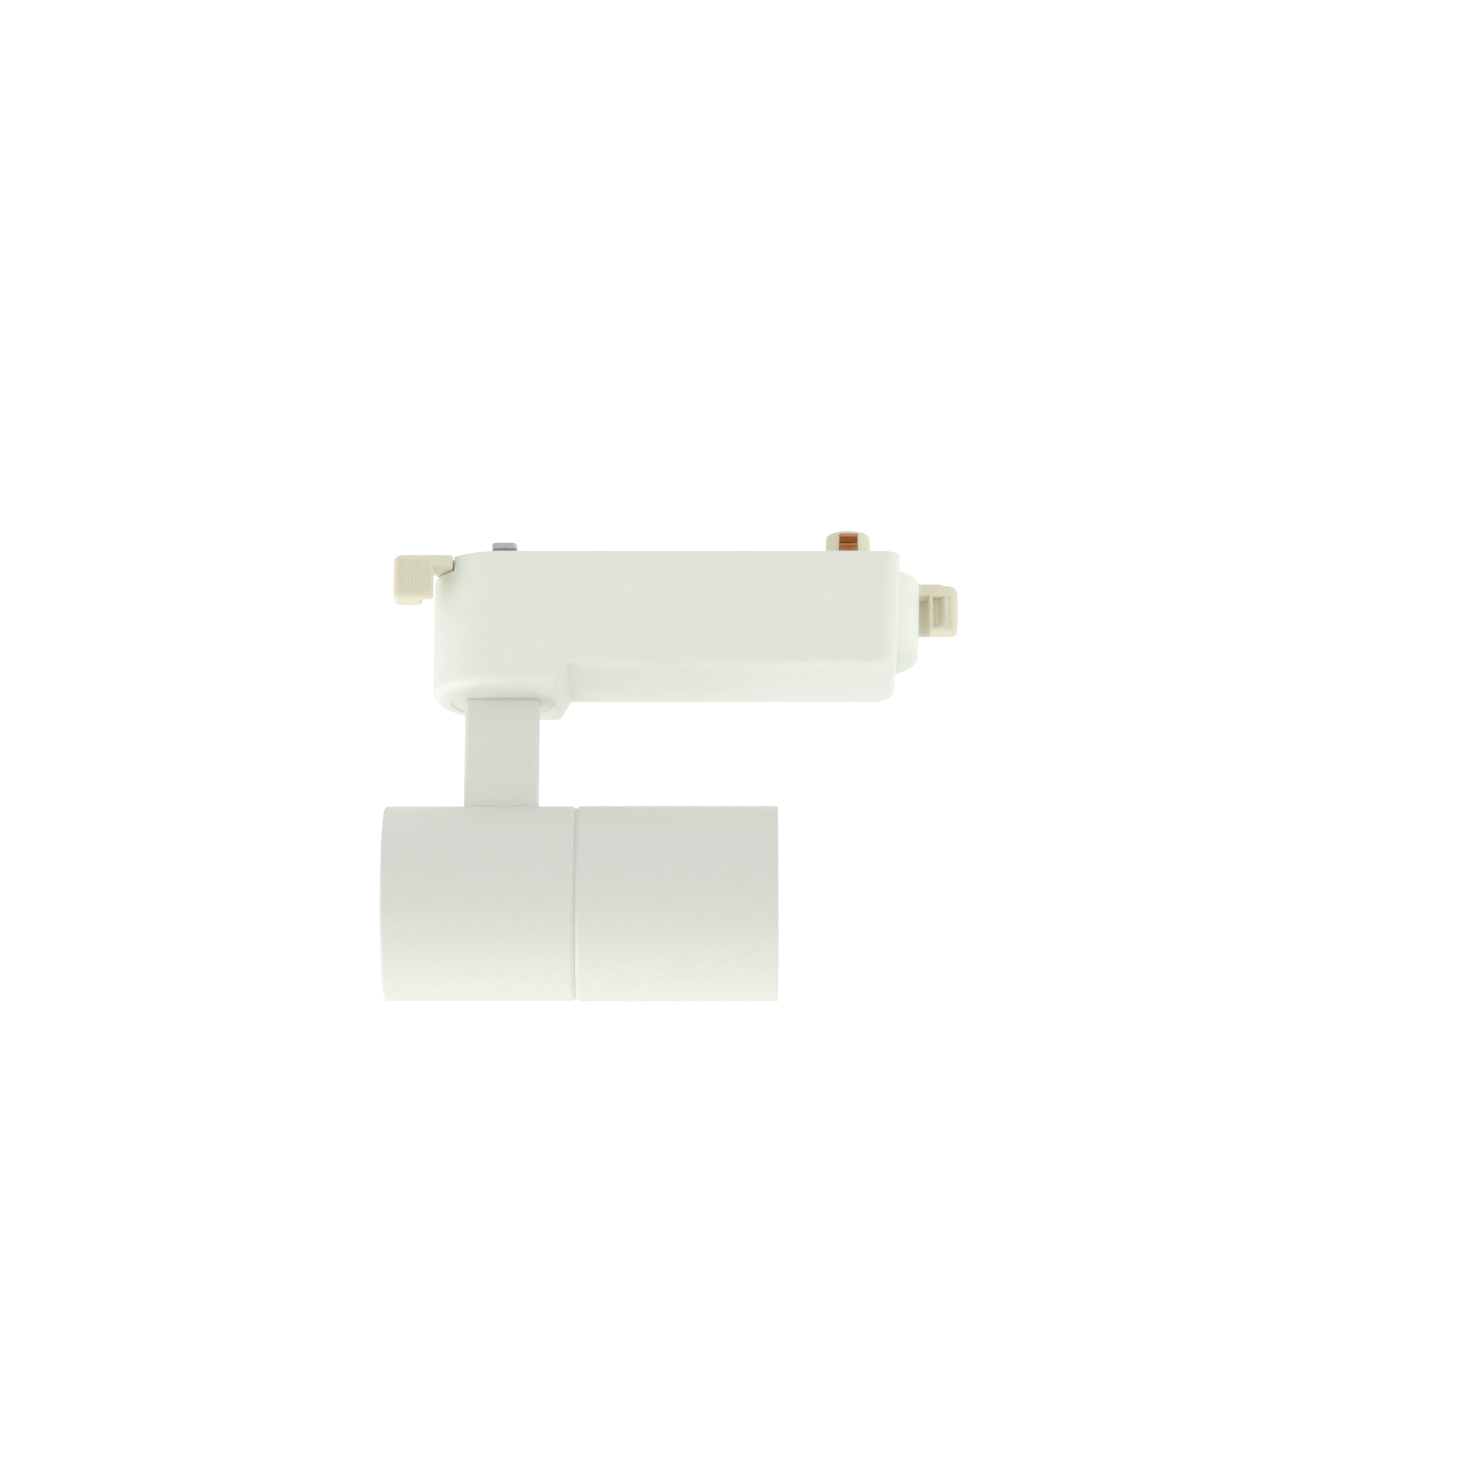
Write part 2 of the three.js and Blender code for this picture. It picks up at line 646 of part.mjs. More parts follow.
function lever(noseHeight, gripEnd, gripDepth) {
  const hub = rod(hubRadius, armBottom, -play, { sides: wheelSides });
  const barrel = rod(barrelRadius, -barrelDepth, armBottom + bite, { sides: wheelSides });
  const nose = rod(noseRadius, -play - bite, noseHeight,
    { topRadius: noseRadius - 0.3, sides: wheelSides });
  const arm = prism(armOutline(gripEnd), armBottom, -play);
  const grip = cut(roundedSlab(gripOutline(gripEnd), -gripDepth, -play, gripEdge), gripScoop(gripDepth));
  const groove = tube(barrelRadius + 1, grooveRadius, -grooveTop - grooveHeight, -grooveTop);
  return cut(join(hub, barrel, nose, arm, grip, ...gripRibs(gripEnd, gripDepth)), groove);
}

// The contact rotor has a slot down each side for its copper blade
function contactLever() {
  const slots = [-1, 1].flatMap((side) => {
    const inner = side * (bladeLeg - bladeThickness / 2 - seat);
    const outer = side * (bladeLeg + bladeThickness / 2 + seat);
    const far = side * (barrelRadius + 1);
    const half = bladeWidth / 2 + seat;
    const between = (a, b, low, high) => block(-half, half, Math.min(a, b), Math.max(a, b), low, high);
    return [
      between(inner, outer, -barrelDepth - 1, contactNoseHeight - 1),
      between(inner, far, -barrelDepth - 1, -grooveTop - grooveHeight),
      between(inner, far, 0, contactNoseHeight - 1),
    ];
  });
  return cut(lever(contactNoseHeight, contactGripEnd, contactGripDepth), ...slots);
}

function lockLever() {
  const pilot = rod(lockScrewRadius + seat, lockNoseHeight - lockScrewLength - 1, lockNoseHeight + 1);
  return cut(lever(lockNoseHeight, lockGripEnd, lockGripDepth), pilot);
}

// A copper blade: a contact lug for the track above, and a wiping foot for the driver below
function contactBlade(side) {
  const foot = barrelRadius - bladeThickness / 2 - play;
  return strip([
    [side * bladeReach, bladeLevel],
    [side * (bladeLeg + 0.6), bladeLevel],
    [side * bladeLeg, bladeLevel - 0.6],
    [side * bladeLeg, -grooveTop - grooveHeight - 0.6],
    [side * foot, -grooveTop - grooveHeight - 1.8],
    [side * foot, -barrelDepth + 1],
  ], bladeThickness, bladeWidth);
}

function retainingClip() {
  const low = -grooveTop - grooveHeight + seat;
  const ring = tube(clipRadius, grooveRadius + seat, low, -grooveTop - seat);
  const mouth = block(0, clipRadius + 1, -clipMouthHalf, clipMouthHalf, low - 1, 0);
  return cut(ring, mouth);
}

function lockPlate() {
  const low = lockNoseHeight + seat;
  const corner = 1.2;
  const half = lockPlateWidth / 2;
  const outline = [
    ...arc(half - corner, lockPlateHalf - corner, corner, 0, 90 * degree, 3),
    ...arc(corner - half, lockPlateHalf - corner, corner, 90 * degree, 180 * degree, 3),
    ...arc(corner - half, corner - lockPlateHalf, corner, 180 * degree, 270 * degree, 3),
    ...arc(half - corner, corner - lockPlateHalf, corner, 270 * degree, 360 * degree, 3),
  ];
  const high = low + lockPlateThickness;
  return cut(prism(outline, low, high),
    rod(lockScrewRadius + seat, low - 1, high + 1, { sides: 8 }),
    countersink(high, lockScrewRadius + seat, lockScrewHead + seat));
}

// ---- Driver

function driverBoard() {
  const low = boardTop - boardThickness;
  const board = block(boardLow, boardHigh, -boardHalfWidth, boardHalfWidth, low, boardTop);
  const corners = postPlaces().map((place) =>
    rod(postRadius + play, low - 1, boardTop + 1, place));
  const edges = postPlaces().map(({ x, y }) => block(x - postRadius - play, x + postRadius + play,
    Math.min(y, 2 * y), Math.max(y, 2 * y), low - 1, boardTop + 1));
  return cut(board, ...corners, ...edges);
}

// Ferrite core round a taped winding on a flanged bobbin
function transformer() {
  const low = boardTop + seat;
  const high = low + transformerHeight;
  const x = transformerLength / 2;
  const y = transformerWidth / 2;
  const core = cut(block(-x, x, -y + 2, y - 2, low + 1.5, high),
    block(-x + 3.5, x - 3.5, -y, y, low + 4.5, high - 3));
  const winding = block(-x + 4.2, x - 4.2, -y, y, low + 5, high - 3.5);
  const bobbin = block(-x + 2, x - 2, -y, y, low, low + 2.5);
  return join(core, winding, bobbin, block(-x + 5, x - 5, -y + 3, y - 3, low, high));
}

// An upright electrolytic can with its crimped groove and rounded shoulder
function canCapacitor(radius, height) {
  const low = boardTop + seat;
  return turned([
    [0, low],
    [radius, low],
    [radius, low + 1.2],
    [radius - canNeck, low + 1.2 + canNeck],
    [radius, low + 1.2 + 2 * canNeck],
    [radius, low + height - canNeck],
    [radius - canNeck, low + height],
    [0, low + height],
  ], boltSides);
}

// A moulded block standing on the board, with softened edges
function mouldedBlock(length, width, height, edge) {
  const corners = [[-1, -1], [1, -1], [1, 1], [-1, 1]];
  const outline = corners.map(([x, y]) => new THREE.Vector2(x * length / 2, y * width / 2));
  const low = boardTop + seat;
  return roundedSlab(outline, low, low + height, edge);
}

function filmCapacitor() {
  return mouldedBlock(filmLength, filmWidth, filmHeight, 0.4);
}

function rectifier() {
  return mouldedBlock(bridgeLength, bridgeWidth, bridgeHeight, 0.3);
}

function drumChoke() {
  const low = boardTop + seat;
  const high = low + chokeHeight;
  const slope = chokeRadius - chokeWaist;
  return turned([
    [0, low],
    [chokeRadius, low],
    [chokeRadius, low + chokeFlange],
    [chokeWaist, low + chokeFlange + slope],
    [chokeWaist, high - chokeFlange - slope],
    [chokeRadius, high - chokeFlange],
    [chokeRadius, high],
    [0, high],
  ], boltSides);
}

// A fuse lying on the board along Y, its glass a little thinner than its end caps
function fuse() {
  const glass = fuseRadius - 0.3;
  const inner = fuseHalf - fuseCap;
  const profile = [[0, -fuseHalf], [fuseRadius, -fuseHalf], [fuseRadius, -inner], [glass, 0.3 - inner],
    [glass, inner - 0.3], [fuseRadius, inner], [fuseRadius, fuseHalf], [0, fuseHalf]];
  return laid(turned(profile, boltSides), alongY)
    .translate([0, 0, boardTop + seat + fuseRadius]);
}

// A sprung leaf that stands on the board and wipes the rotor's blade
function terminalLeaf(side) {
  const wipe = barrelRadius + play + leafThickness;
  const upright = wipe + leafSet;
  const foot = boardTop + seat + leafThickness / 2;
  return strip([
    [side * (upright + leafFoot), foot],
    [side * (upright + leafThickness), foot],
    [side * upright, foot + leafThickness],
    [side * upright, -barrelDepth - leafSet],
    [side * wipe, -barrelDepth + 1.5 * leafSet],
    [side * wipe, -barrelDepth + 2.2 * leafSet],
    [side * upright, -grooveTop - grooveHeight - 2 * leafThickness],
  ], leafThickness, bladeWidth);
}

// ---- Swivel and stem, about the swivel axis

function frictionDisc() {
  const low = flangeTop + seat;
  return tube(flangeRadius - 2 * play, spigotRadius + play, low, low + frictionRing);
}

function stopWasher() {
  const high = washerBottom + washerThickness;
  const tab = block(washerRadius - 1, stopReach, -stopTabHalf, stopTabHalf, washerBottom, high);
  return cut(join(rod(washerRadius, washerBottom, high, { sides: wheelSides }), tab),
    rod(spigotRadius + seat, washerBottom - 1, high + 1, { sides: wheelSides }));
}

// A dished spring washer
function springWasher() {
  const inner = spigotRadius + seat;
  const outer = washerRadius - 1.5;
  const high = springBottom + springHeight;
  return turned([[inner, high - springSheet], [outer, springBottom],
    [outer, springBottom + springSheet], [inner, high], [inner, high - springSheet]]);
}

function swivelNut() {
  return cut(hexagon(nutAcross, nutBottom, nutBottom + nutHeight),
    rod(spigotRadius + seat, nutBottom - 1, nutBottom + nutHeight + 1, { sides: wheelSides }));
}

// Flange, hollow spigot and flat bar in one casting, with a round eye at the tilt axis
function stem() {
  const half = stemWidth / 2;
  const barOutline = [
    new THREE.Vector2(half, flangeFace + bite),
    new THREE.Vector2(-half, flangeFace + bite),
    ...arc(0, -pivotDepth, half, 180 * degree, 360 * degree, 16),
  ];
  const bar = laid(roundedSlab(barOutline, -stemThickness / 2, stemThickness / 2, stemEdge), uprightXZ);
  const flange = rod(flangeRadius, flangeFace, flangeTop, { sides: tubeSides });
  const spigot = rod(spigotRadius, flangeTop - bite, spigotTop, { sides: wheelSides });
  const leadWay = rod(leadBore, leadWayFoot - pivotDepth, spigotTop + 1);
  const leadWindow = block(-leadBore, leadBore, -stemThickness, 0.6,
    windowFoot - pivotDepth, windowHead - pivotDepth);
  const eye = laid(rod(boltRadius + 2 * seat, -stemThickness, stemThickness), alongY)
    .translate([0, 0, -pivotDepth]);
  return cut(join(bar, flange, spigot), leadWay, leadWindow, eye,
    rod(spigotBore, flangeTop, spigotTop + 1));
}

function stemLead() {
  return lead([
    [0, 0, spigotTop + 3],
    [0, 0, flangeFace],
    [0, 0, 32 - pivotDepth],
    [0, 0, 23 - pivotDepth],
    [0, -0.35, 19.5 - pivotDepth],
    [0, -1.4, 16 - pivotDepth],
    [0, -2.3, 13 - pivotDepth],
  ], leadRadius);
}

function driverLead() {
  return lead([
    [boardLow + 4, 0, boardTop + leadRadius + 1.5],
    [boardLow - 1, 0, boardTop + 6.5],
    [3 - swivelOffset, 0, spigotTop + 4.3],
  ], leadRadius);
}

// ---- Head, about its own axis along +X with the tilt axis at its origin

function rearHousing() {
  const front = seamPlace - seamGap / 2;
  const shell = laid(turned([
    [0, -rearEnd],
    [rearRadius - rearEdge, -rearEnd],
    [rearRadius - rearEdge * 0.3, rearEdge * 0.3 - rearEnd],
    [rearRadius, rearEdge - rearEnd],
    [rearRadius, front - seamChamfer],
    [rearRadius - seamChamfer, front],
    [rearInner, front],
    [rearInner, rearCap - rearEnd],
    [0, rearCap - rearEnd],
  ], tubeSides), alongX);
  const half = stemThickness / 2 + play;
  const reach = stemWidth / 2 + play;
  const topSlot = block(-rearEnd - 1, reach, -half, half, 0, rearRadius + 1);
  const capSlot = block(-rearEnd - 1, rearCap + 1 - rearEnd, -half, half, -reach, rearRadius + 1);
  return cut(shell, topSlot, capSlot);
}

function frontTube() {
  const back = seamPlace + seamGap / 2;
  return laid(turned([
    [frontInner, back],
    [frontRadius - seamChamfer, back],
    [frontRadius, back + seamChamfer],
    [frontRadius, frontEnd - mouthEdge * 0.6],
    [frontRadius - mouthEdge * 0.6, frontEnd],
    [frontInner + mouthEdge, frontEnd],
    [frontInner, frontEnd - mouthEdge],
    [frontInner, back],
  ], tubeSides), alongX);
}

// Die-cast disc that both tubes slide on, with radial fins behind the light source
function heatSink() {
  const rearSkirt = rearInner - seat;
  const frontSkirt = frontInner - seat;
  const disc = turned([[0, seamPlace], [frontSkirt, seamPlace + seamGap / 2 + seat],
    [frontSkirt, sinkPlateFront], [0, sinkPlateFront]], tubeSides);
  const step = rod(rearSkirt, seamPlace - bite, seamPlace + bite, { sides: tubeSides });
  const rim = tube(rearSkirt, rearSkirt - sinkRim, sinkBack, seamPlace, tubeSides);
  const hub = rod(sinkHub, sinkBack, seamPlace + bite, { sides: wheelSides });
  const fins = Array.from({ length: finCount }, (_, i) => {
    const fin = block(sinkHub - bite, rearSkirt - sinkRim + bite, -finThickness / 2, finThickness / 2,
      sinkBack, seamPlace + bite);
    return laid(fin, new THREE.Matrix4().makeRotationZ((i + 0.5) * 360 * degree / finCount));
  });
  const body = laid(join(disc, step, rim, hub, ...fins), alongX);
  const bracketHoles = [-1, 1].map((side) =>
    laid(rod(bracketScrewRadius + seat, sinkBack - 1, bracketBack + bracketScrewLength + 1), alongX)
      .translate([0, side * bracketScrewOffset, 0]));
  const holderHoles = [-1, 1].map((side) =>
    laid(rod(holderScrewRadius + seat, holderSeat - holderScrewLength - 1, sinkPlateFront + 1), alongX)
      .translate([0, 0, side * holderScrewOffset]));
  const leadHole = laid(rod(headLeadRadius + 2 * play, sinkBack - 1, sinkPlateFront + 1), alongX)
    .translate([0, leadHoleSide, leadHoleHeight]);
  return cut(body, ...bracketHoles, ...holderHoles, leadHole);
}

// A folded bracket: two cheeks beside the stem and a base screwed to the heat sink
function tiltBracket() {
  const high = bracketBack + bracketSheet;
  const base = block(bracketBack, high, -bracketHalf, bracketHalf, -cheekRadius, cheekRadius);
  const cheekOutline = [
    new THREE.Vector2(high, cheekRadius),
    ...arc(0, 0, cheekRadius, 90 * degree, 270 * degree, 14),
    new THREE.Vector2(high, -cheekRadius),
  ];
  const cheeks = [-1, 1].map((side) => {
    const middle = -side * (cheekInner + cheekOuter) / 2;
    return laid(prism(cheekOutline, middle - bracketSheet / 2, middle + bracketSheet / 2), uprightXZ);
  });
  const window = block(bracketBack - 1, high + 1, -cheekInner + 1, cheekInner - 1, -3.5, 3.5);
  const boltHole = laid(rod(boltRadius + seat, -bracketHalf, bracketHalf), alongY);
  const screwHoles = [-1, 1].map((side) =>
    laid(rod(bracketScrewRadius + seat, bracketBack - 1, high + 1), alongX)
      .translate([0, side * bracketScrewOffset, 0]));
  return cut(join(base, ...cheeks), window, boltHole, ...screwHoles);
}

// A pan-head screw driven along +X, its head's underside at the given place
function panScrew(under, radius, head, length) {
  const headHeight = head * 0.65;
  const body = join(rod(head * 0.85, under - headHeight, under, { topRadius: head }),
    rod(radius, under - bite, under + length, { sides: 8 }));
  const drive = block(-head * 0.6, head * 0.6, -driveHalf, driveHalf,
    under - headHeight - 1, under - headHeight * 0.45);
  const turnedDrive = laid(drive, new THREE.Matrix4().makeRotationZ(90 * degree));
  return laid(cut(body, drive, turnedDrive), alongX);
}

function tiltBolt() {
  const head = -cheekOuter - seat;
  const end = cheekOuter + lockWasherThickness + tiltNutHeight + 1;
  const bolt = join(
    rod(boltHeadRadius - 0.8, head - boltHeadHeight, head, { topRadius: boltHeadRadius }),
    rod(boltRadius, head - bite, end));
  return laid(cut(bolt, hexagon(boltSocket, head - boltHeadHeight - 1, head - 1)), alongY);
}

function tiltLockWasher() {
  const low = cheekOuter + seat;
  const ring = tube(lockWasherRadius, boltRadius + seat, low, low + lockWasherThickness - seat, 16);
  return laid(cut(ring, block(0, lockWasherRadius + 1, -play, play, low - 1, low + 2)), alongY);
}

function tiltNut() {
  const low = cheekOuter + lockWasherThickness + seat;
  const nut = hexagon(tiltNutAcross, low, low + tiltNutHeight);
  return laid(cut(nut, rod(boltRadius + seat, low - 1, low + tiltNutHeight + 1)), alongY);
}

function frictionWasher(side) {
  const inner = stemThickness / 2 + seat;
  const outer = cheekInner - seat;
  const washer = tube(frictionWasherRadius, boltRadius + seat, inner, outer, 16);
  return laid(washer, alongY).rotate([side > 0 ? 0 : 180, 0, 0]);
}

function ledBoard() {
  const half = chipSide / 2;
  return block(sinkPlateFront + seat, chipFront, -half, half, -half, half);
}

function ledPhosphor() {
  return laid(rod(phosphorRadius, chipFront + seat, chipFront + seat + phosphorThickness,
    { topRadius: phosphorRadius - 0.3, sides: wheelSides }), alongX);
}

// The clamp that holds the light source down and centres the reflector
function ledHolder() {
  const back = sinkPlateFront + seat;
  const half = chipSide / 2 + seat;
  const holder = laid(turned([
    [phosphorRadius + 0.8, back],
    [holderRadius, back],
    [holderRadius, holderFront - 1.6],
    [holderRadius - 1.6, holderFront],
    [reflectorThroat, holderFront],
    [phosphorRadius + 0.8, back + chipThickness + 0.4],
    [phosphorRadius + 0.8, back],
  ]), alongX);
  const pocket = block(back - 1, chipFront + seat, -half, half, -half, half);
  const recesses = [-1, 1].flatMap((side) => [
    laid(rod(holderScrewHead + play, back + holderFloor, holderFront + 1), alongX)
      .translate([0, 0, side * holderScrewOffset]),
    laid(rod(holderScrewRadius + 2 * seat, back - 1, holderFront, { sides: 8 }), alongX)
      .translate([0, 0, side * holderScrewOffset]),
  ]);
  return cut(holder, pocket, ...recesses);
}

// A pan-head screw driven back into the heat sink, along -X
function holderScrew(side) {
  return panScrew(-holderSeat, holderScrewRadius, holderScrewHead, holderScrewLength)
    .rotate([0, 180, 0])
    .translate([0, 0, side * holderScrewOffset]);
}

// A bright cup whose bowl follows a parabola from the throat to the lens
function reflector() {
  const mouth = frontInner - seat - reflectorRim;
  const length = reflectorLength - reflectorRim;
  const bowl = (share) => reflectorThroat + (mouth - reflectorThroat) * share ** 0.55;
  const shares = [0, 0.08, 0.25, 0.55, 1];
  const inside = shares.map((share) => [bowl(share), reflectorBack + length * share]);
  const outside = inside.map(([radius, place]) => [radius + reflectorSkin, place]);
  const front = reflectorBack + reflectorLength;
  return laid(turned([
    ...outside.slice(0, -1),
    [frontInner - seat, reflectorBack + length],
    [frontInner - seat, front],
    [mouth, front],
    ...inside.reverse(),
    outside[0],
  ], tubeSides), alongX);
}

function frontLens() {
  const radius = frontInner - seat;
  return laid(rod(radius, lensBack, lensBack + lensThickness, { sides: tubeSides }), alongX);
}

function lensRing() {
  const outer = frontInner - seat;
  const inner = outer - ringWidth;
  const front = ringBack + ringThickness;
  return laid(turned([[inner, ringBack], [outer, ringBack], [outer, front],
    [inner + 0.8, front], [inner, front - 0.8], [inner, ringBack]], tubeSides), alongX);
}

function headLead() {
  return lead([
    [1.5, leadHoleSide - 1, leadHoleHeight - 2.3],
    [6, leadHoleSide - 0.6, leadHoleHeight - 0.6],
    [10, leadHoleSide, leadHoleHeight],
    [seamPlace, leadHoleSide, leadHoleHeight],
    [sinkPlateFront + 2, leadHoleSide, leadHoleHeight],
  ], headLeadRadius);
}

// ---- Assembly

function adapterPieces() {
  const group = new THREE.Group();
  group.add(piece('adapter_housing', adapterHousing(), whitePlastic));
  group.add(piece('adapter_lid', adapterLid(), whitePlastic));
  postPlaces().forEach(({ x, y }, i) => {
    const top = -lidDrop - seat;
    const screw = countersunkScrew(top, lidScrewRadius, lidScrewHead, lidScrewLength);
    const mesh = piece(`lid_screw_${i + 1}`, screw, zincSteel);
    mesh.position.set(x, y, 0);
    group.add(mesh);
  });
  group.add(piece('driver_board', driverBoard(), boardLaminate));
  const right = transformerPlace + transformerLength / 2 + boardGap;
  const left = transformerPlace - transformerLength / 2 - boardGap;
  const stand = (name, body, finish, x, y) => {
    const mesh = piece(name, body, finish);
    mesh.position.set(x, y, 0);
    group.add(mesh);
  };
  stand('transformer', transformer(), ferrite, transformerPlace, 0);
  stand('input_capacitor', canCapacitor(inputCanRadius, inputCanHeight), canSleeve,
    right + inputCanRadius, -inputCanRadius);
  stand('film_capacitor', filmCapacitor(), filmCase, right + filmLength / 2, boardGap + filmWidth / 2);
  stand('fuse', fuse(), ceramic, right + 2 * inputCanRadius + boardGap + fuseRadius, 0);
  stand('output_capacitor', canCapacitor(outputCanRadius, outputCanHeight), canSleeve,
    left - outputCanRadius, boardGap / 2 + outputCanRadius);
  stand('choke', drumChoke(), ferrite, left - chokeRadius, -boardGap / 2 - chokeRadius);
  stand('rectifier', rectifier(), blackPlastic, rotorOffset, 0);
  for (const [name, side] of [['live_terminal', 1], ['neutral_terminal', -1]]) {
    const mesh = piece(name, terminalLeaf(side), copper);
    mesh.position.x = rotorOffset;
    group.add(mesh);
  }
  group.add(piece('driver_lead', driverLead(), leadSleeve));
  return group;
}

function contactRotor() {
  const group = new THREE.Group();
  group.add(piece('contact_lever', contactLever(), ivoryPlastic));
  group.add(piece('live_blade', contactBlade(1), copper));
  group.add(piece('neutral_blade', contactBlade(-1), copper));
  group.add(piece('contact_clip', retainingClip(), zincSteel));
  group.position.x = rotorOffset;
  return group;
}

function lockRotor() {
  const group = new THREE.Group();
  const plateTop = lockNoseHeight + seat + lockPlateThickness;
  group.add(piece('lock_lever', lockLever(), ivoryPlastic));
  group.add(piece('lock_plate', lockPlate(), zincSteel));
  group.add(piece('lock_screw',
    countersunkScrew(plateTop, lockScrewRadius, lockScrewHead - seat, lockScrewLength), zincSteel));
  group.add(piece('lock_clip', retainingClip(), zincSteel));
  group.position.x = -rotorOffset;
  group.rotation.z = Math.PI;
  return group;
}

function swivel() {
  const group = new THREE.Group();
  group.add(piece('stem', stem(), whitePaint));
  group.add(piece('swivel_friction_disc', frictionDisc(), nylon));
  group.add(piece('swivel_stop_washer', stopWasher(), zincSteel));
  group.add(piece('swivel_spring_washer', springWasher(), zincSteel));
  group.add(piece('swivel_nut', swivelNut(), zincSteel));
  group.add(piece('stem_lead', stemLead(), leadSleeve));
  group.position.x = -swivelOffset;
  return group;
}

function head() {
  const group = new THREE.Group();
  group.add(piece('rear_housing', rearHousing(), whitePaint));
  group.add(piece('front_tube', frontTube(), whitePaint));
  group.add(piece('heat_sink', heatSink(), bareAluminium));
  group.add(piece('tilt_bracket', tiltBracket(), zincSteel));
  for (const side of [-1, 1]) {
    const name = side < 0 ? 'bracket_screw_1' : 'bracket_screw_2';
    const screw = piece(name,
      panScrew(bracketBack - seat, bracketScrewRadius, bracketScrewHead, bracketScrewLength),
      zincSteel);
    screw.position.y = side * bracketScrewOffset;
    group.add(screw);
  }
  group.add(piece('tilt_bolt', tiltBolt(), zincSteel));
  group.add(piece('tilt_lock_washer', tiltLockWasher(), zincSteel));
  group.add(piece('tilt_nut', tiltNut(), zincSteel));
  group.add(piece('friction_washer_1', frictionWasher(-1), nylon));
  group.add(piece('friction_washer_2', frictionWasher(1), nylon));
  group.add(piece('led_board', ledBoard(), ceramic));
  group.add(piece('led_phosphor', ledPhosphor(), phosphor));
  group.add(piece('led_holder', ledHolder(), ceramic));
  group.add(piece('holder_screw_1', holderScrew(-1), zincSteel));
  group.add(piece('holder_screw_2', holderScrew(1), zincSteel));
  group.add(piece('reflector', reflector(), brightAluminium));
  group.add(piece('front_lens', frontLens(), clearPlastic));
  group.add(piece('lens_ring', lensRing(), whitePaint));
  group.add(piece('head_lead', headLead(), leadSleeve));
  group.position.set(-swivelOffset, 0, -pivotDepth);
  return group;
}

const spotlight = new THREE.Group();
spotlight.add(adapterPieces(), contactRotor(), lockRotor(), swivel(), head());

export default spotlight;
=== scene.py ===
import json
import math

import bmesh
import bpy
from mathutils import Matrix, Vector


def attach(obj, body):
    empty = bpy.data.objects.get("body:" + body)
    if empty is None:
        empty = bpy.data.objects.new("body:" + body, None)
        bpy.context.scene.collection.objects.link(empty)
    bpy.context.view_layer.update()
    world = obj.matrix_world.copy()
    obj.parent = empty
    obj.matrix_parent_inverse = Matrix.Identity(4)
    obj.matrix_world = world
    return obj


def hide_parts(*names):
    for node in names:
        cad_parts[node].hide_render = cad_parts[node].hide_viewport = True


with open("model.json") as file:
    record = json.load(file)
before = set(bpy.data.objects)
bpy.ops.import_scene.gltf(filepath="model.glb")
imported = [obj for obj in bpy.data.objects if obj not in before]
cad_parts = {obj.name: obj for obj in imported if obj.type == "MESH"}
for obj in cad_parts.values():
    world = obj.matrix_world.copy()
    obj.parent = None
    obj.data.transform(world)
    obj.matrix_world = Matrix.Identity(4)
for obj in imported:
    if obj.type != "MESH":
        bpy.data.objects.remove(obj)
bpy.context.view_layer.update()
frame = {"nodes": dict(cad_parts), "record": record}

degree = math.pi / 180
unit = 0.001  # shapes below are written in millimetres
over = 1  # a cutting tool reaches this far past the face that it opens
lap = 0.5  # joined solids overlap by this much, and sloping cuts run on this far


# Camera and studio light

look = {
    "target": (15.4, 0, -42.6),
    "distance": 1500,
    "upward": 15.9,  # the camera stands below the lamp and looks up at it
    "lens": 150.57,
    "sensor": 36,
    "nearest": 10,
    "background": "#ffffff",
}
walls = {
    "depth": (-1.0, 0.15), "depthLight": (0.67, 0.88),  # a little dimmer behind the camera
    "across": (-0.9, 0.9), "acrossLight": (0.0, 0.36),  # and brighter towards the right
}
softboxes = {  # place, target and size in metres, power in watts
    "leftSoftbox": ((-1.35, 0.1, -1.1), (0, 0, -0.05), (1.1, 1.4), 11.5),
    "lowSoftbox": ((0.2, 0.7, -1.2), (0.2, 0.7, 0), (3, 3), 6.5),
}

scene = bpy.context.scene
scene.view_settings.view_transform = "Standard"


# An sRGB hex colour in the linear values that a node takes, by the standard's curve
def linear(colour):
    values = [int(colour[i:i + 2], 16) / 255 for i in (1, 3, 5)]
    return [v / 12.92 if v <= 0.04045 else ((v + 0.055) / 1.055) ** 2.4 for v in values] + [1]


def addNode(tree, kind, inputs=(), **settings):
    node = tree.nodes.new(kind)
    for key, value in settings.items():
        setattr(node, key, value)
    for key, value in dict(inputs).items():
        if isinstance(value, bpy.types.NodeSocket):
            tree.links.new(value, node.inputs[key])
        else:
            node.inputs[key].default_value = value
    return node


def makeCamera():
    camera = bpy.data.objects.new("camera", bpy.data.cameras.new("camera"))
    scene.collection.objects.link(camera)
    rise = look["upward"] * degree
    x, y, z = look["target"]
    back, down = look["distance"] * math.cos(rise), look["distance"] * math.sin(rise)
    camera.location = (x * unit, (y - back) * unit, (z - down) * unit)
    camera.rotation_euler = (math.pi / 2 + rise, 0, 0)
    camera.data.sensor_width = look["sensor"]
    camera.data.lens = look["lens"]
    camera.data.clip_start = look["nearest"] * unit
    scene.camera = camera


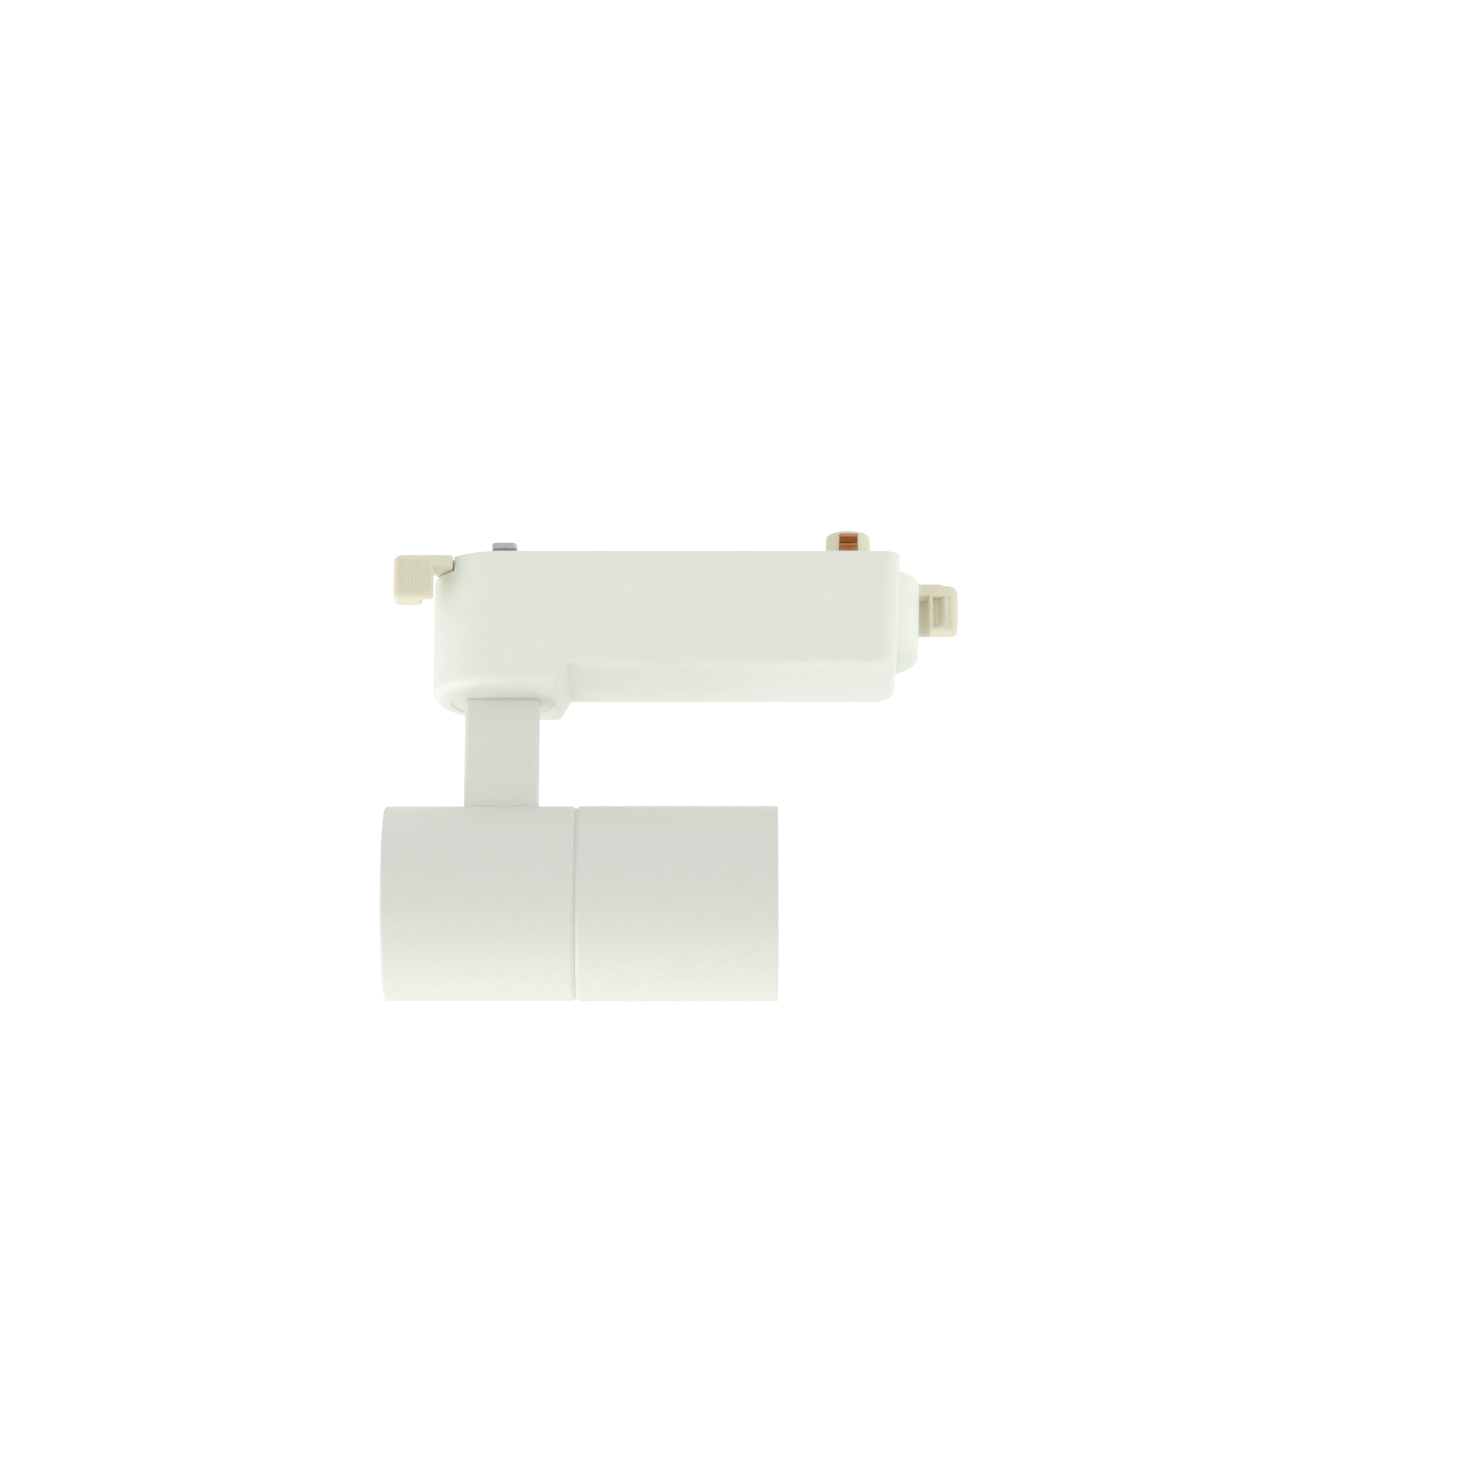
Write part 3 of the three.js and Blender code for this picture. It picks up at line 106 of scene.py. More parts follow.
def makeWorld():
    world = bpy.data.worlds.new("studio")
    world.use_nodes = True
    scene.world = world
    tree = world.node_tree
    tree.nodes.clear()
    direction = addNode(tree, "ShaderNodeTexCoord").outputs["Generated"]
    parts = addNode(tree, "ShaderNodeSeparateXYZ", {"Vector": direction}).outputs
    toward = addNode(tree, "ShaderNodeMapRange", {
        "Value": parts["Y"], "From Min": walls["depth"][0], "From Max": walls["depth"][1],
        "To Min": walls["depthLight"][0], "To Max": walls["depthLight"][1],
    }, interpolation_type="SMOOTHSTEP")
    across = addNode(tree, "ShaderNodeMapRange", {
        "Value": parts["X"], "From Min": walls["across"][0], "From Max": walls["across"][1],
        "To Min": walls["acrossLight"][0], "To Max": walls["acrossLight"][1]})
    strength = addNode(tree, "ShaderNodeMath", {
        0: toward.outputs["Result"], 1: across.outputs["Result"]}, operation="ADD")
    shade = addNode(tree, "ShaderNodeBackground", {
        "Color": linear(look["background"]), "Strength": strength.outputs["Value"]})
    addNode(tree, "ShaderNodeOutputWorld", {"Surface": shade.outputs["Background"]})


def makeSoftbox(name, location, target, size, power):
    data = bpy.data.lights.new(name, "AREA")
    data.shape = "RECTANGLE"
    data.size, data.size_y = size
    data.energy = power
    lamp = bpy.data.objects.new(name, data)
    scene.collection.objects.link(lamp)
    lamp.location = location
    lamp.rotation_euler = (Vector(target) - Vector(location)).to_track_quat("-Z", "Y").to_euler()
    lamp.visible_camera = False


makeCamera()
makeWorld()
for name, settings in softboxes.items():
    makeSoftbox(name, *settings)
print("studio ready")


# Mesh tools

alongX = Matrix(((0, 0, 1, 0), (0, 1, 0, 0), (-1, 0, 0, 0), (0, 0, 0, 1)))  # Z turned to +X
uprightXZ = Matrix(((1, 0, 0, 0), (0, 0, -1, 0), (0, 1, 0, 0), (0, 0, 0, 1)))  # Y turned to +Z
acrossX = Matrix(((0, 0, 1, 0), (1, 0, 0, 0), (0, 1, 0, 0), (0, 0, 0, 1)))  # a YZ profile run along X
sharpAngle = 32  # edges bent more than this stay sharp in the shading
weldDistance = 1e-7


def arc(x, y, radius, start, end, steps):
    turns = [(start + (end - start) * i / steps) * degree for i in range(steps + 1)]
    return [(x + radius * math.cos(t), y + radius * math.sin(t)) for t in turns]


def newPiece(name, points, faces):
    mesh = bpy.data.meshes.new(name)
    mesh.from_pydata([[c * unit for c in p] for p in points], [], faces)
    piece = bpy.data.objects.new(name, mesh)
    scene.collection.objects.link(piece)
    return piece


# A closed skin over outlines of equally many points, each at its own height
def loft(name, levels):
    count = len(levels[0][0])
    points = [(x, y, z) for outline, z in levels for x, y in outline]
    faces = [list(range(count))[::-1], [len(points) - count + i for i in range(count)]]
    for level in range(len(levels) - 1):
        for i in range(count):
            a, b = level * count + i, level * count + (i + 1) % count
            faces.append([a, b, b + count, a + count])
    return newPiece(name, points, faces)


def prism(name, outline, low, high):
    return loft(name, [(outline, low), (outline, high)])


def block(name, low, high):
    outline = [(low[0], low[1]), (high[0], low[1]), (high[0], high[1]), (low[0], high[1])]
    return prism(name, outline, low[2], high[2])


# A profile of (radius, height) turned about Z; a ring's profile closes on itself
def turned(name, profile, steps=128, ring=False):
    points, rings = [], []
    for radius, height in profile:
        start = len(points)
        if radius == 0:
            points.append((0, 0, height))
            rings.append([start] * steps)
        else:
            points += [(x, y, height) for x, y in arc(0, 0, radius, 0, 360 - 360 / steps, steps - 1)]
            rings.append(list(range(start, start + steps)))
    pairs = list(zip(rings, rings[1:])) + ([(rings[-1], rings[0])] if ring else [])
    faces = []
    for low, high in pairs:
        for i in range(steps):
            j = (i + 1) % steps
            corners = list(dict.fromkeys([low[i], low[j], high[j], high[i]]))
            if len(corners) > 2:
                faces.append(corners)
    return newPiece(name, points, faces)


def rod(name, radius, low, high, steps=48):
    return turned(name, [(0, low), (radius, low), (radius, high), (0, high)], steps)


# The tool that sinks a screw: a hole from low upwards that opens into a cone at the top
def countersink(name, top, radius, head, low):
    return turned(name, [(0, low), (radius, low), (radius, top - (head - radius)),
                         (head + lap, top + lap), (0, top + lap)], steps=48)


def place(piece, matrix):
    piece.data.transform(matrix)
    return piece


def moved(x, y, z):
    return Matrix.Translation((x * unit, y * unit, z * unit))


def bake(piece):
    graph = bpy.context.evaluated_depsgraph_get()
    mesh = bpy.data.meshes.new_from_object(piece.evaluated_get(graph))
    piece.modifiers.clear()
    piece.data = mesh
    return piece


def shaped(piece, operation, *tools):
    for tool in tools:
        change = piece.modifiers.new("shape", "BOOLEAN")
        change.operation = operation
        change.solver = "MANIFOLD"
        change.object = tool
        bake(piece)
        bpy.data.objects.remove(tool)
    return piece


def join(piece, *tools):
    return shaped(piece, "UNION", *tools)


def cut(piece, *tools):
    return shaped(piece, "DIFFERENCE", *tools)


def soften(piece, width, segments=3, angle=40):
    edge = piece.modifiers.new("edge", "BEVEL")
    edge.width = width * unit
    edge.segments = segments
    edge.limit_method = "ANGLE"
    edge.angle_limit = angle * degree
    return bake(piece)


# How far a rounded edge draws the outline in at a height above the face
def drawIn(height, radius):
    return 0 if height >= radius else radius - math.sqrt(radius ** 2 - (radius - height) ** 2)


# The heights of a rounded edge's outlines, at equal turns of its arc
def roundHeights(radius):
    return [radius * (1 - math.cos(turn * degree)) for turn in range(0, 100, 10)]


# Cleans and shades a finished mesh, then gives it its finish and its body, and hides the nodes that it
# replaces
def handIn(piece, body, finish, slot, *nodes):
    bm = bmesh.new()
    bm.from_mesh(piece.data)
    bmesh.ops.remove_doubles(bm, verts=bm.verts, dist=weldDistance)
    bmesh.ops.recalc_face_normals(bm, faces=bm.faces)
    bm.to_mesh(piece.data)
    bm.free()
    piece.data.materials.clear()
    piece.data.materials.append(finish)
    piece.data.shade_smooth()
    piece.data.set_sharp_from_angle(angle=sharpAngle * degree)
    weights = piece.modifiers.new("shading", "WEIGHTED_NORMAL")
    weights.keep_sharp = True
    bake(piece)
    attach(piece, body)
    if nodes:
        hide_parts(*nodes)


# Finishes

noiseSpan = (0.3, 0.7)  # nearly all values of a noise pattern lie between these


def newFinish(name, sockets):
    finish = bpy.data.materials.new(name)
    finish.use_nodes = True
    tree = finish.node_tree
    tree.nodes.clear()
    shader = addNode(tree, "ShaderNodeBsdfPrincipled", sockets)
    addNode(tree, "ShaderNodeOutputMaterial", {"Surface": shader.outputs["BSDF"]})
    coords = addNode(tree, "ShaderNodeTexCoord").outputs["Object"]
    return finish, tree, shader, coords


def twoTone(tree, shader, pattern, dark, light):
    ramp = addNode(tree, "ShaderNodeValToRGB", {"Fac": pattern})
    for stop, position, colour in zip(ramp.color_ramp.elements, noiseSpan, (dark, light)):
        stop.position = position
        stop.color = linear(colour)
    tree.links.new(ramp.outputs["Color"], shader.inputs["Base Color"])


def grain(tree, coords, size, detail=2.0):
    return addNode(tree, "ShaderNodeTexNoise", {
        "Vector": coords, "Scale": 1 / (size * unit), "Detail": detail, "Roughness": 0.5}).outputs["Fac"]


def roughen(tree, shader, pattern, low, high):
    spread = addNode(tree, "ShaderNodeMapRange", {
        "Value": pattern, "From Min": noiseSpan[0], "From Max": noiseSpan[1], "To Min": low, "To Max": high})
    tree.links.new(spread.outputs["Result"], shader.inputs["Roughness"])


def emboss(tree, shader, pattern, height):
    bump = addNode(tree, "ShaderNodeBump", {"Height": pattern, "Distance": height * unit, "Strength": 1.0})
    tree.links.new(bump.outputs["Normal"], shader.inputs["Normal"])


# Draws a pattern out across X by its stretch, so that its grain turns into lines
def drawnOut(tree, coords, stretch):
    scale = (1, 1 / stretch, 1 / stretch)
    return addNode(tree, "ShaderNodeMapping", {"Vector": coords, "Scale": scale}).outputs["Vector"]


# Injection-moulded PC/ABS: an even cool white with a faint spark-eroded grain
def mouldedWhite():
    finish, tree, shader, coords = newFinish("mouldedPcAbsWhite", {"Roughness": 0.42, "IOR": 1.53})
    twoTone(tree, shader, grain(tree, coords, size=4), "#e6eae1", "#e8ece3")
    fine = grain(tree, coords, size=0.7)
    roughen(tree, shader, fine, low=0.38, high=0.47)
    emboss(tree, shader, fine, height=0.012)
    return finish


# Powder-coated die-castings: a slightly greyer white than the mouldings, with soft orange peel
def powderCoat(name, dark, light):
    finish, tree, shader, coords = newFinish(name, {"Roughness": 0.48, "IOR": 1.5})
    twoTone(tree, shader, grain(tree, coords, size=3), dark, light)
    peel = grain(tree, coords, size=1.1, detail=1.0)
    roughen(tree, shader, peel, low=0.44, high=0.54)
    emboss(tree, shader, peel, height=0.02)
    return finish


# Moulded polyamide: the warm ivory of unpainted nylon, slightly waxy
def mouldedIvory():
    finish, tree, shader, coords = newFinish("mouldedPolyamideIvory", {
        "Roughness": 0.45, "IOR": 1.53, "Subsurface Weight": 0.05})
    twoTone(tree, shader, grain(tree, coords, size=4), "#e1ddc6", "#e5e1cb")
    fine = grain(tree, coords, size=0.6)
    roughen(tree, shader, fine, low=0.4, high=0.52)
    emboss(tree, shader, fine, height=0.01)
    return finish


# Bright zinc plate: cool grey steel with a slightly cloudy shine
def zincPlate():
    finish, tree, shader, coords = newFinish("brightZincPlate", {"Roughness": 0.32, "Metallic": 1})
    cloud = grain(tree, coords, size=2.5, detail=3.0)
    twoTone(tree, shader, cloud, "#a9adb2", "#c6c9cb")
    roughen(tree, shader, cloud, low=0.24, high=0.4)
    return finish


# Rolled phosphor bronze strip: fine rolling lines that follow the bent blades from end to end
def bronzeStrip():
    finish, tree, shader, coords = newFinish("rolledPhosphorBronze", {"Roughness": 0.3, "Metallic": 1})
    streak = grain(tree, drawnOut(tree, coords, stretch=20), size=0.3)
    twoTone(tree, shader, streak, "#c08a5a", "#cf9b6a")
    roughen(tree, shader, streak, low=0.22, high=0.36)
    return finish


# As-cast aluminium: dull silver with a sandy skin
def castAluminium():
    finish, tree, shader, coords = newFinish("castAluminium", {"Roughness": 0.5, "Metallic": 1})
    sand = grain(tree, coords, size=0.5, detail=3.0)
    twoTone(tree, shader, sand, "#a4a7aa", "#bbbec0")
    roughen(tree, shader, sand, low=0.42, high=0.6)
    emboss(tree, shader, sand, height=0.02)
    return finish


# Bright-anodised spun aluminium: a mirror with very faint spinning lines
def brightReflector():
    finish, tree, shader, coords = newFinish("brightAnodisedReflector", {"Roughness": 0.1, "Metallic": 1})
    streak = grain(tree, drawnOut(tree, coords, stretch=25), size=0.5)
    twoTone(tree, shader, streak, "#dfe1e4", "#eef0f2")
    roughen(tree, shader, streak, low=0.07, high=0.16)
    return finish


# Polished acrylic: clear, with a trace of haze
def clearAcrylic():
    finish, tree, shader, coords = newFinish("polishedAcrylic", {
        "Roughness": 0.03, "IOR": 1.49, "Transmission Weight": 1})
    haze = grain(tree, coords, size=3)
    twoTone(tree, shader, haze, "#f6f9f9", "#ffffff")
    roughen(tree, shader, haze, low=0.02, high=0.06)
    return finish


# Epoxy laminate under green solder mask
def solderMask():
    finish, tree, shader, coords = newFinish("greenSolderMask", {"Roughness": 0.4, "IOR": 1.55})
    weave = grain(tree, coords, size=0.8)
    twoTone(tree, shader, weave, "#24593a", "#2f6b45")
    roughen(tree, shader, weave, low=0.32, high=0.48)
    return finish


# Plain inner mouldings: one tone, broken up by a fine grain
def plainMoulded(name, dark, light, roughness, size=1.5):
    finish, tree, shader, coords = newFinish(name, {"Roughness": roughness, "IOR": 1.5})
    fine = grain(tree, coords, size)
    twoTone(tree, shader, fine, dark, light)
    roughen(tree, shader, fine, low=roughness - 0.05, high=roughness + 0.07)
    emboss(tree, shader, fine, height=0.01)
    return finish


white = mouldedWhite()
paint = powderCoat("powderCoatedAluminiumWhite", "#dcded6", "#dedfd8")
litStemPaint = powderCoat("powderCoatWhiteLitForStem", "#e4e5de", "#e6e7e0")  # the head's paint made a touch lighter on the stem: painted light against the shade that the head and boss cast on it
ivory = mouldedIvory()
zinc = zincPlate()
bronze = bronzeStrip()
cast = castAluminium()
mirror = brightReflector()
acrylic = clearAcrylic()
laminate = solderMask()
nylon = plainMoulded("naturalNylon", "#d2cebd", "#dedaca", roughness=0.5)
ferrite = plainMoulded("sinteredFerrite", "#303134", "#3e3f43", roughness=0.65, size=0.6)  # dull ceramic
sleeve = plainMoulded("shrinkSleeveBlue", "#252d4c", "#303a5e", roughness=0.35, size=3)  # glossy PVC
filmCase = plainMoulded("epoxyFilmCase", "#b39a34", "#c4ab42", roughness=0.4)
moulding = plainMoulded("mouldedEpoxyBlack", "#1f2023", "#2b2c2f", roughness=0.5)
ceramicWhite = plainMoulded("firedCeramicWhite", "#e4e5e0", "#efefeb", roughness=0.45, size=0.8)
leadSleeve = plainMoulded("siliconeLeadSleeve", "#d3d3cf", "#deded9", roughness=0.5)
# Silicone filled with phosphor, which looks yellow while the light is off
phosphorGel = plainMoulded("phosphorSilicone", "#e8bd2c", "#f4d24a", roughness=0.55, size=0.4)
print("finishes ready")


# Adapter housing: a box with one round end, a boss below that end and a bulge at the square one

housingShape = {
    "halfWidth": 17.3, "depth": 28.3, "wall": 1.8, "floor": 2.2, "sideRound": 1, "endRound": 2.2,
    "rotor": 41.8, "swivel": 42.2,  # how far out the rotors and the swivel stand
    "endFlat": 12.4, "endCorner": 4.5, "endLean": 1.05,
    "step": 3.5, "wedge": 43.4, "shelfFlat": 12, "openingReach": 20,  # room for the levers' arms
    "bulgeDepth": 23, "bulgeRound": 1.8, "bulgeLean": 0.3, "bulgeSweep": 50,
    "bulgeHollow": 15.5, "bulgeHollowTop": -6,
    "bossDepth": 33.3, "bossRound": 2.7, "bossEdge": 15.9, "bossSlope": 0.56, "bossCorner": 1.4,
    "bossEdgeRound": 0.45, "bossInset": 0.02, "bossInsetRun": 0.1, "bossTop": 0.3,
    "recess": 12.5, "recessRim": 0.2, "recessTop": -30.25, "spigotHole": 5.3,
    "post": (27, 12.6), "postRadius": 3.2, "postTop": -6.1, "pilot": 1.3, "pilotFoot": -15.7,
}


def boxOutline(inset, endInset=None):
    s = housingShape
    endInset = inset if endInset is None else endInset
    radius, corner = s["halfWidth"] - inset, s["endCorner"] - inset
    flat = s["rotor"] + s["endFlat"] - endInset
    return (arc(-s["rotor"], 0, radius, 90, 270, steps=64)
            + arc(flat - corner, corner - radius, corner, -90, 0, steps=12)
            + arc(flat - corner, radius - corner, corner, 0, 90, steps=12))


def makeBox():
    s = housingShape
    levels = []
    for height in roundHeights(s["endRound"]):
        lean = s["endLean"] * (1 - height / s["depth"])
        outline = boxOutline(drawIn(height, s["sideRound"]), drawIn(height, s["endRound"]) + lean)
        levels.append((outline, height - s["depth"]))
    return loft("adapterHousing", levels + [(boxOutline(0), 0)])


# The boss's outline at a height above its own lower face
def bossOutline(height):
    s = housingShape
    radius = s["halfWidth"] - drawIn(height, s["bossRound"])
    if height > s["bossDepth"] - s["depth"] + s["sideRound"]:
        radius -= s["bossInset"]  # just inside the box's own wall
    below = max(s["bossDepth"] - s["depth"] - height, 0)
    edge = s["bossEdge"] - s["rotor"] - s["bossSlope"] * below - drawIn(height, s["bossEdgeRound"])
    corner = s["bossCorner"]
    return (arc(-s["rotor"], 0, radius, 90, 270, steps=64)
            + arc(edge - corner, corner - radius, corner, -90, 0, steps=10)
            + arc(edge - corner, radius - corner, corner, 0, 90, steps=10))


def makeBoss():
    s = housingShape
    boxFace = s["bossDepth"] - s["depth"]
    sideWall = boxFace + s["sideRound"]
    heights = roundHeights(s["bossRound"])
    heights += [boxFace, sideWall, sideWall + s["bossInsetRun"], boxFace + s["floor"] - s["bossTop"]]
    return loft("boss", [(bossOutline(height), height - s["bossDepth"]) for height in heights])


def makeBulge():
    s = housingShape

    def outline(inset):
        return arc(s["rotor"], 0, s["halfWidth"] - inset, -s["bulgeSweep"], s["bulgeSweep"], steps=64)

    levels = []
    for height in roundHeights(s["bulgeRound"]):
        lean = s["bulgeLean"] * (1 - height / s["bulgeDepth"])
        levels.append((outline(drawIn(height, s["bulgeRound"]) + lean), height - s["bulgeDepth"]))
    return loft("bulge", levels + [(outline(0), -s["step"])])


# The wedges that the arms swing in, and the step down to the shelf at the round end
def leverOpenings():
    s = housingShape
    reach = s["endFlat"] + lap
    half = reach * math.tan(s["wedge"] * degree)
    tools = []
    for side in (-1, 1):
        tip = side * s["rotor"]
        far = side * (s["rotor"] + reach)
        tools.append(prism("opening", [(tip, 0), (far, -side * half), (far, side * half)], -s["step"], over))
    flat, wide = -s["rotor"] - s["shelfFlat"], s["openingReach"]
    tools.append(block("opening", (flat - wide, -wide, -s["step"]), (flat, wide, over)))
    return tools


def postPlaces():
    along, across = housingShape["post"]
    return [(x * along, y * across) for x in (-1, 1) for y in (-1, 1)]


# The recess for the stem's flange, with a rounded rim, and the hole for its spigot
def makeRecess():
    s = housingShape
    rim, hole, low = s["recessRim"], s["recess"], -s["bossDepth"]
    flare = [(hole + rim - rim * math.sin(a * degree), low + rim - rim * math.cos(a * degree))
             for a in range(0, 91, 15)]
    recess = turned("recess", [(0, low - over), (hole + rim, low - over)] + flare + [
        (hole, s["recessTop"]), (s["spigotHole"], s["recessTop"]), (s["spigotHole"], 0), (0, 0)])
    return place(recess, moved(-s["swivel"], 0, 0))


def makeHousing():
    s = housingShape
    housing = join(makeBox(), makeBoss(), makeBulge())
    floorLevel, bulgeFloor = s["floor"] - s["depth"], s["floor"] - s["bulgeDepth"]
    cavity = prism("cavity", boxOutline(s["wall"], s["wall"] + s["endLean"]), floorLevel, over)
    bulgeCavity = rod("bulgeCavity", s["bulgeHollow"], bulgeFloor, s["bulgeHollowTop"], steps=96)
    cut(housing, cavity, place(bulgeCavity, moved(s["rotor"], 0, 0)))
    posts, pilots = [], []
    for x, y in postPlaces():
        spot = moved(x, y, 0)
        posts.append(place(rod("post", s["postRadius"], floorLevel - lap, s["postTop"]), spot))
        pilots.append(place(rod("pilot", s["pilot"], s["pilotFoot"], 0, steps=24), spot))
    join(housing, *posts)
    return cut(housing, *pilots, *leverOpenings(), makeRecess())


handIn(makeHousing(), "adapter", white, "housing_plastic", "adapter_housing")
print("housing ready")


# Lid: it lies on the housing's posts under four screws, and carries the seating pad

lidShape = {
    "gap": 0.1, "depth": 6, "drop": 0.3, "skin": 2, "rim": 1.6, "hollow": 22.5, "edge": 0.25,
    "ribs": (-15, 0, 15), "ribHalf": 0.6,
    "pad": (-14, 20, 8), "padRoot": 1.5, "padEdge": 0.25,  # the pad's two ends and half width
    "hubPocket": 9.2, "barrelHole": 6.8, "screwHole": 1.5, "screwHead": 2.9,
}


def makeLid():
    s, h = lidShape, housingShape
    edge, foot, top, under = s["edge"], -s["depth"], -s["drop"], -s["drop"] - s["skin"]
    inset = h["wall"] + s["gap"]
    outline = boxOutline(inset, inset + h["endLean"])
    softer = boxOutline(inset + edge, inset + h["endLean"] + edge)
    lid = loft("adapterLid", [(outline, foot), (outline, top - edge), (softer, top)])
    half = h["halfWidth"] - inset - s["rim"]
    cut(lid, block("hollow", (-s["hollow"], -half, foot - over), (s["hollow"], half, under)))
    ribs = [block("rib", (x - s["ribHalf"], -half - lap, foot), (x + s["ribHalf"], half + lap, under + lap))
            for x in s["ribs"]]
    low, high, side = s["pad"]
    pad = block("pad", (low, -side, -s["padRoot"]), (high, side, 0))
    soften(pad, s["padEdge"], segments=2)
    join(lid, *ribs, pad)
    tools = leverOpenings()
    for x in (-h["rotor"], h["rotor"]):
        pocket = turned("pocket", [
            (0, foot - over), (s["barrelHole"], foot - over), (s["barrelHole"], -h["step"]),
            (s["hubPocket"], -h["step"]), (s["hubPocket"], over), (0, over)], steps=96)
        tools.append(place(pocket, moved(x, 0, 0)))
    for x, y in postPlaces():
        hole = countersink("screwHole", top, s["screwHole"], s["screwHead"], foot - over)
        tools.append(place(hole, moved(x, y, 0)))
    return cut(lid, *tools)


handIn(makeLid(), "adapter", white, "housing_plastic", "adapter_lid")
print("lid ready")


# Levers: each is drawn with its outward axis along +X and its ribbed face along +Y

contactKind = {"nose": 9, "shoulder": 12.7, "end": 26.9, "depth": 12.1}
lockKind = {"nose": 2.9, "shoulder": 12.3, "end": 26.5, "depth": 11.4}
leverShape = {  # what the two levers share
    "hub": 8.8, "hubEdge": 0.3, "barrel": 6.5, "barrelDepth": 12.2, "barrelEdge": 0.4,
    "groove": (5.7, -7.5, -6.3), "nose": 5.6, "noseDraft": 0.25, "noseEdge": 0.4,
    "armTop": -0.3, "armBottom": -3.2, "armEdge": 0.3, "armHigh": 42.2, "armLow": 17.6, "neck": 16.3,
    "armCorner": 1, "armShort": 3, "armSet": (0.8, 0.3, 1.5),  # set back at the shoulder, grip and tip
    "face": 15.7, "inner": 16.9, "thickness": 6.9, "thinWall": 1.5, "thinLength": 3, "thinCorner": 0.8,
    "innerRound": 0.45, "backRound": 1.6, "faceRound": 1.2,
    "edge": 0.9, "topRound": 1.7, "topShare": 0.4, "fine": 0.35, "ledge": 0.15,
    "scoopLeft": 20.95, "scoopFloor": 22.5, "scoopRight": 24.1, "scoopDepth": 2.1,
    "scoopSill": 0.7, "scoopFoot": 3.2, "scoopTop": -3.5, "scoopCurve": 1.6, "scoopLip": 0.2,
    "scoopSteep": 0.8, "scoopLeast": 0.06,  # shares of its depth, at the steep side's bend and at the sill
    "groovePlace": 24.85, "grooveWidth": 0.45, "grooveSet": 0.2,
}


def armOutline(end, shoulder):
    s = leverShape
    face, back = s["face"], s["face"] - s["thickness"]
    root, tip = s["inner"] + s["armCorner"], end - s["armShort"]
    atShoulder, atGrip, atTip = s["armSet"]
    return [
        (0, 0),
        (s["neck"] * math.cos(s["armLow"] * degree), s["neck"] * math.sin(s["armLow"] * degree)),
        (root, back - s["ledge"]),
        (tip - s["armCorner"], back - s["ledge"]),
        (tip, back + s["edge"]),
        (tip, face - atTip),
        (s["inner"], face - atGrip),
        (shoulder, face - atShoulder),
        (shoulder, shoulder * math.tan(s["armHigh"] * degree)),
    ]


def gripOutline(end, inset, faceInset):
    s = leverShape
    small = min(inset, s["fine"])
    inner, start = s["inner"] + small, s["inner"] + s["thinLength"] + small
    back, face = s["face"] - s["thickness"] + inset, s["face"] - faceInset
    thin = s["face"] - s["thinWall"] + small / 2
    end -= inset
    web, turn, heel, nose = s["thinCorner"], s["innerRound"], s["backRound"], s["faceRound"]
    return ([(inner, thin), (start - web, thin), (start, thin - web)]
            + arc(start + turn, back + turn, turn, 180, 270, steps=5)
            + arc(end - heel, back + heel, heel, -90, 0, steps=8)
            + arc(end - nose, face - nose, nose, 0, 90, steps=8)
            + [(inner, face)])


def makeGrip(end, depth):
    s = leverShape
    levels = []
    for height in roundHeights(s["edge"]):
        inset = drawIn(height, s["edge"])
        levels.append((gripOutline(end, inset, inset), height - depth))
    for height in roundHeights(s["topRound"])[::-1]:
        inset = drawIn(height, s["topRound"])
        levels.append((gripOutline(end, inset, inset * s["topShare"]), s["armTop"] - height))
    return loft("grip", levels)


# The upright thumb hollow in the grip's back: steep on the hub's side, hollowed out on the other
def makeScoop(depth):
    s = leverShape
    back, low = s["face"] - s["thickness"], s["scoopSill"] - depth
    left, right, lip, nick = s["scoopLeft"], s["scoopRight"], s["scoopLip"], s["scoopLip"] / 2
    levels = []
    for turn in range(0, 100, 10):
        share = max(math.sin(turn * degree), s["scoopLeast"])
        deep = s["scoopDepth"] * share
        floor = left + (s["scoopFloor"] - left) * share
        hollow = [(right - (right - floor) * t, back + deep * t ** s["scoopCurve"])
                  for t in [k / 8 for k in range(9)]]
        steep = [(left + nick, back + deep), (left, back + s["scoopSteep"] * deep), (left, back + nick),
                 (left - lip, back - nick)]
        outline = [(left - lip, back - over), (right, back - over)] + hollow + steep
        levels.append((outline, low + s["scoopFoot"] * (1 - math.cos(turn * degree))))
    return loft("scoop", levels + [(levels[-1][0], s["scoopTop"])])


def makeGroove(depth):
    s = leverShape
    groove = rod("groove", s["grooveWidth"], -depth - over, s["scoopTop"], steps=24)
    return place(groove, moved(s["groovePlace"], s["face"] - s["thickness"] - s["grooveSet"], 0))


# Hub, barrel with its clip groove, and the nose that stands above the seating face
def makeRotor(name, noseHeight):
    s = leverShape
    top, bottom, foot = s["armTop"], s["armBottom"], -s["barrelDepth"]
    hub, barrel, edge = s["hub"], s["barrel"], s["hubEdge"]
    clipRadius, clipLow, clipHigh = s["groove"]
    rotor = turned(name, [
        (0, bottom), (hub, bottom), (hub, top - edge), (hub - edge, top), (0, top)], steps=96)
    join(rotor, turned("barrel", [
        (0, foot), (barrel - s["barrelEdge"], foot), (barrel, foot + s["barrelEdge"]),
        (barrel, clipLow), (clipRadius, clipLow), (clipRadius, clipHigh), (barrel, clipHigh),
        (barrel, bottom + lap), (0, bottom + lap)], steps=96))
    nose, tip = s["nose"], s["nose"] - s["noseDraft"]
    return join(rotor, turned("nose", [
        (0, top - lap), (nose, top - lap), (tip, noseHeight - s["noseEdge"]),
        (tip - s["noseEdge"], noseHeight), (0, noseHeight)], steps=96))


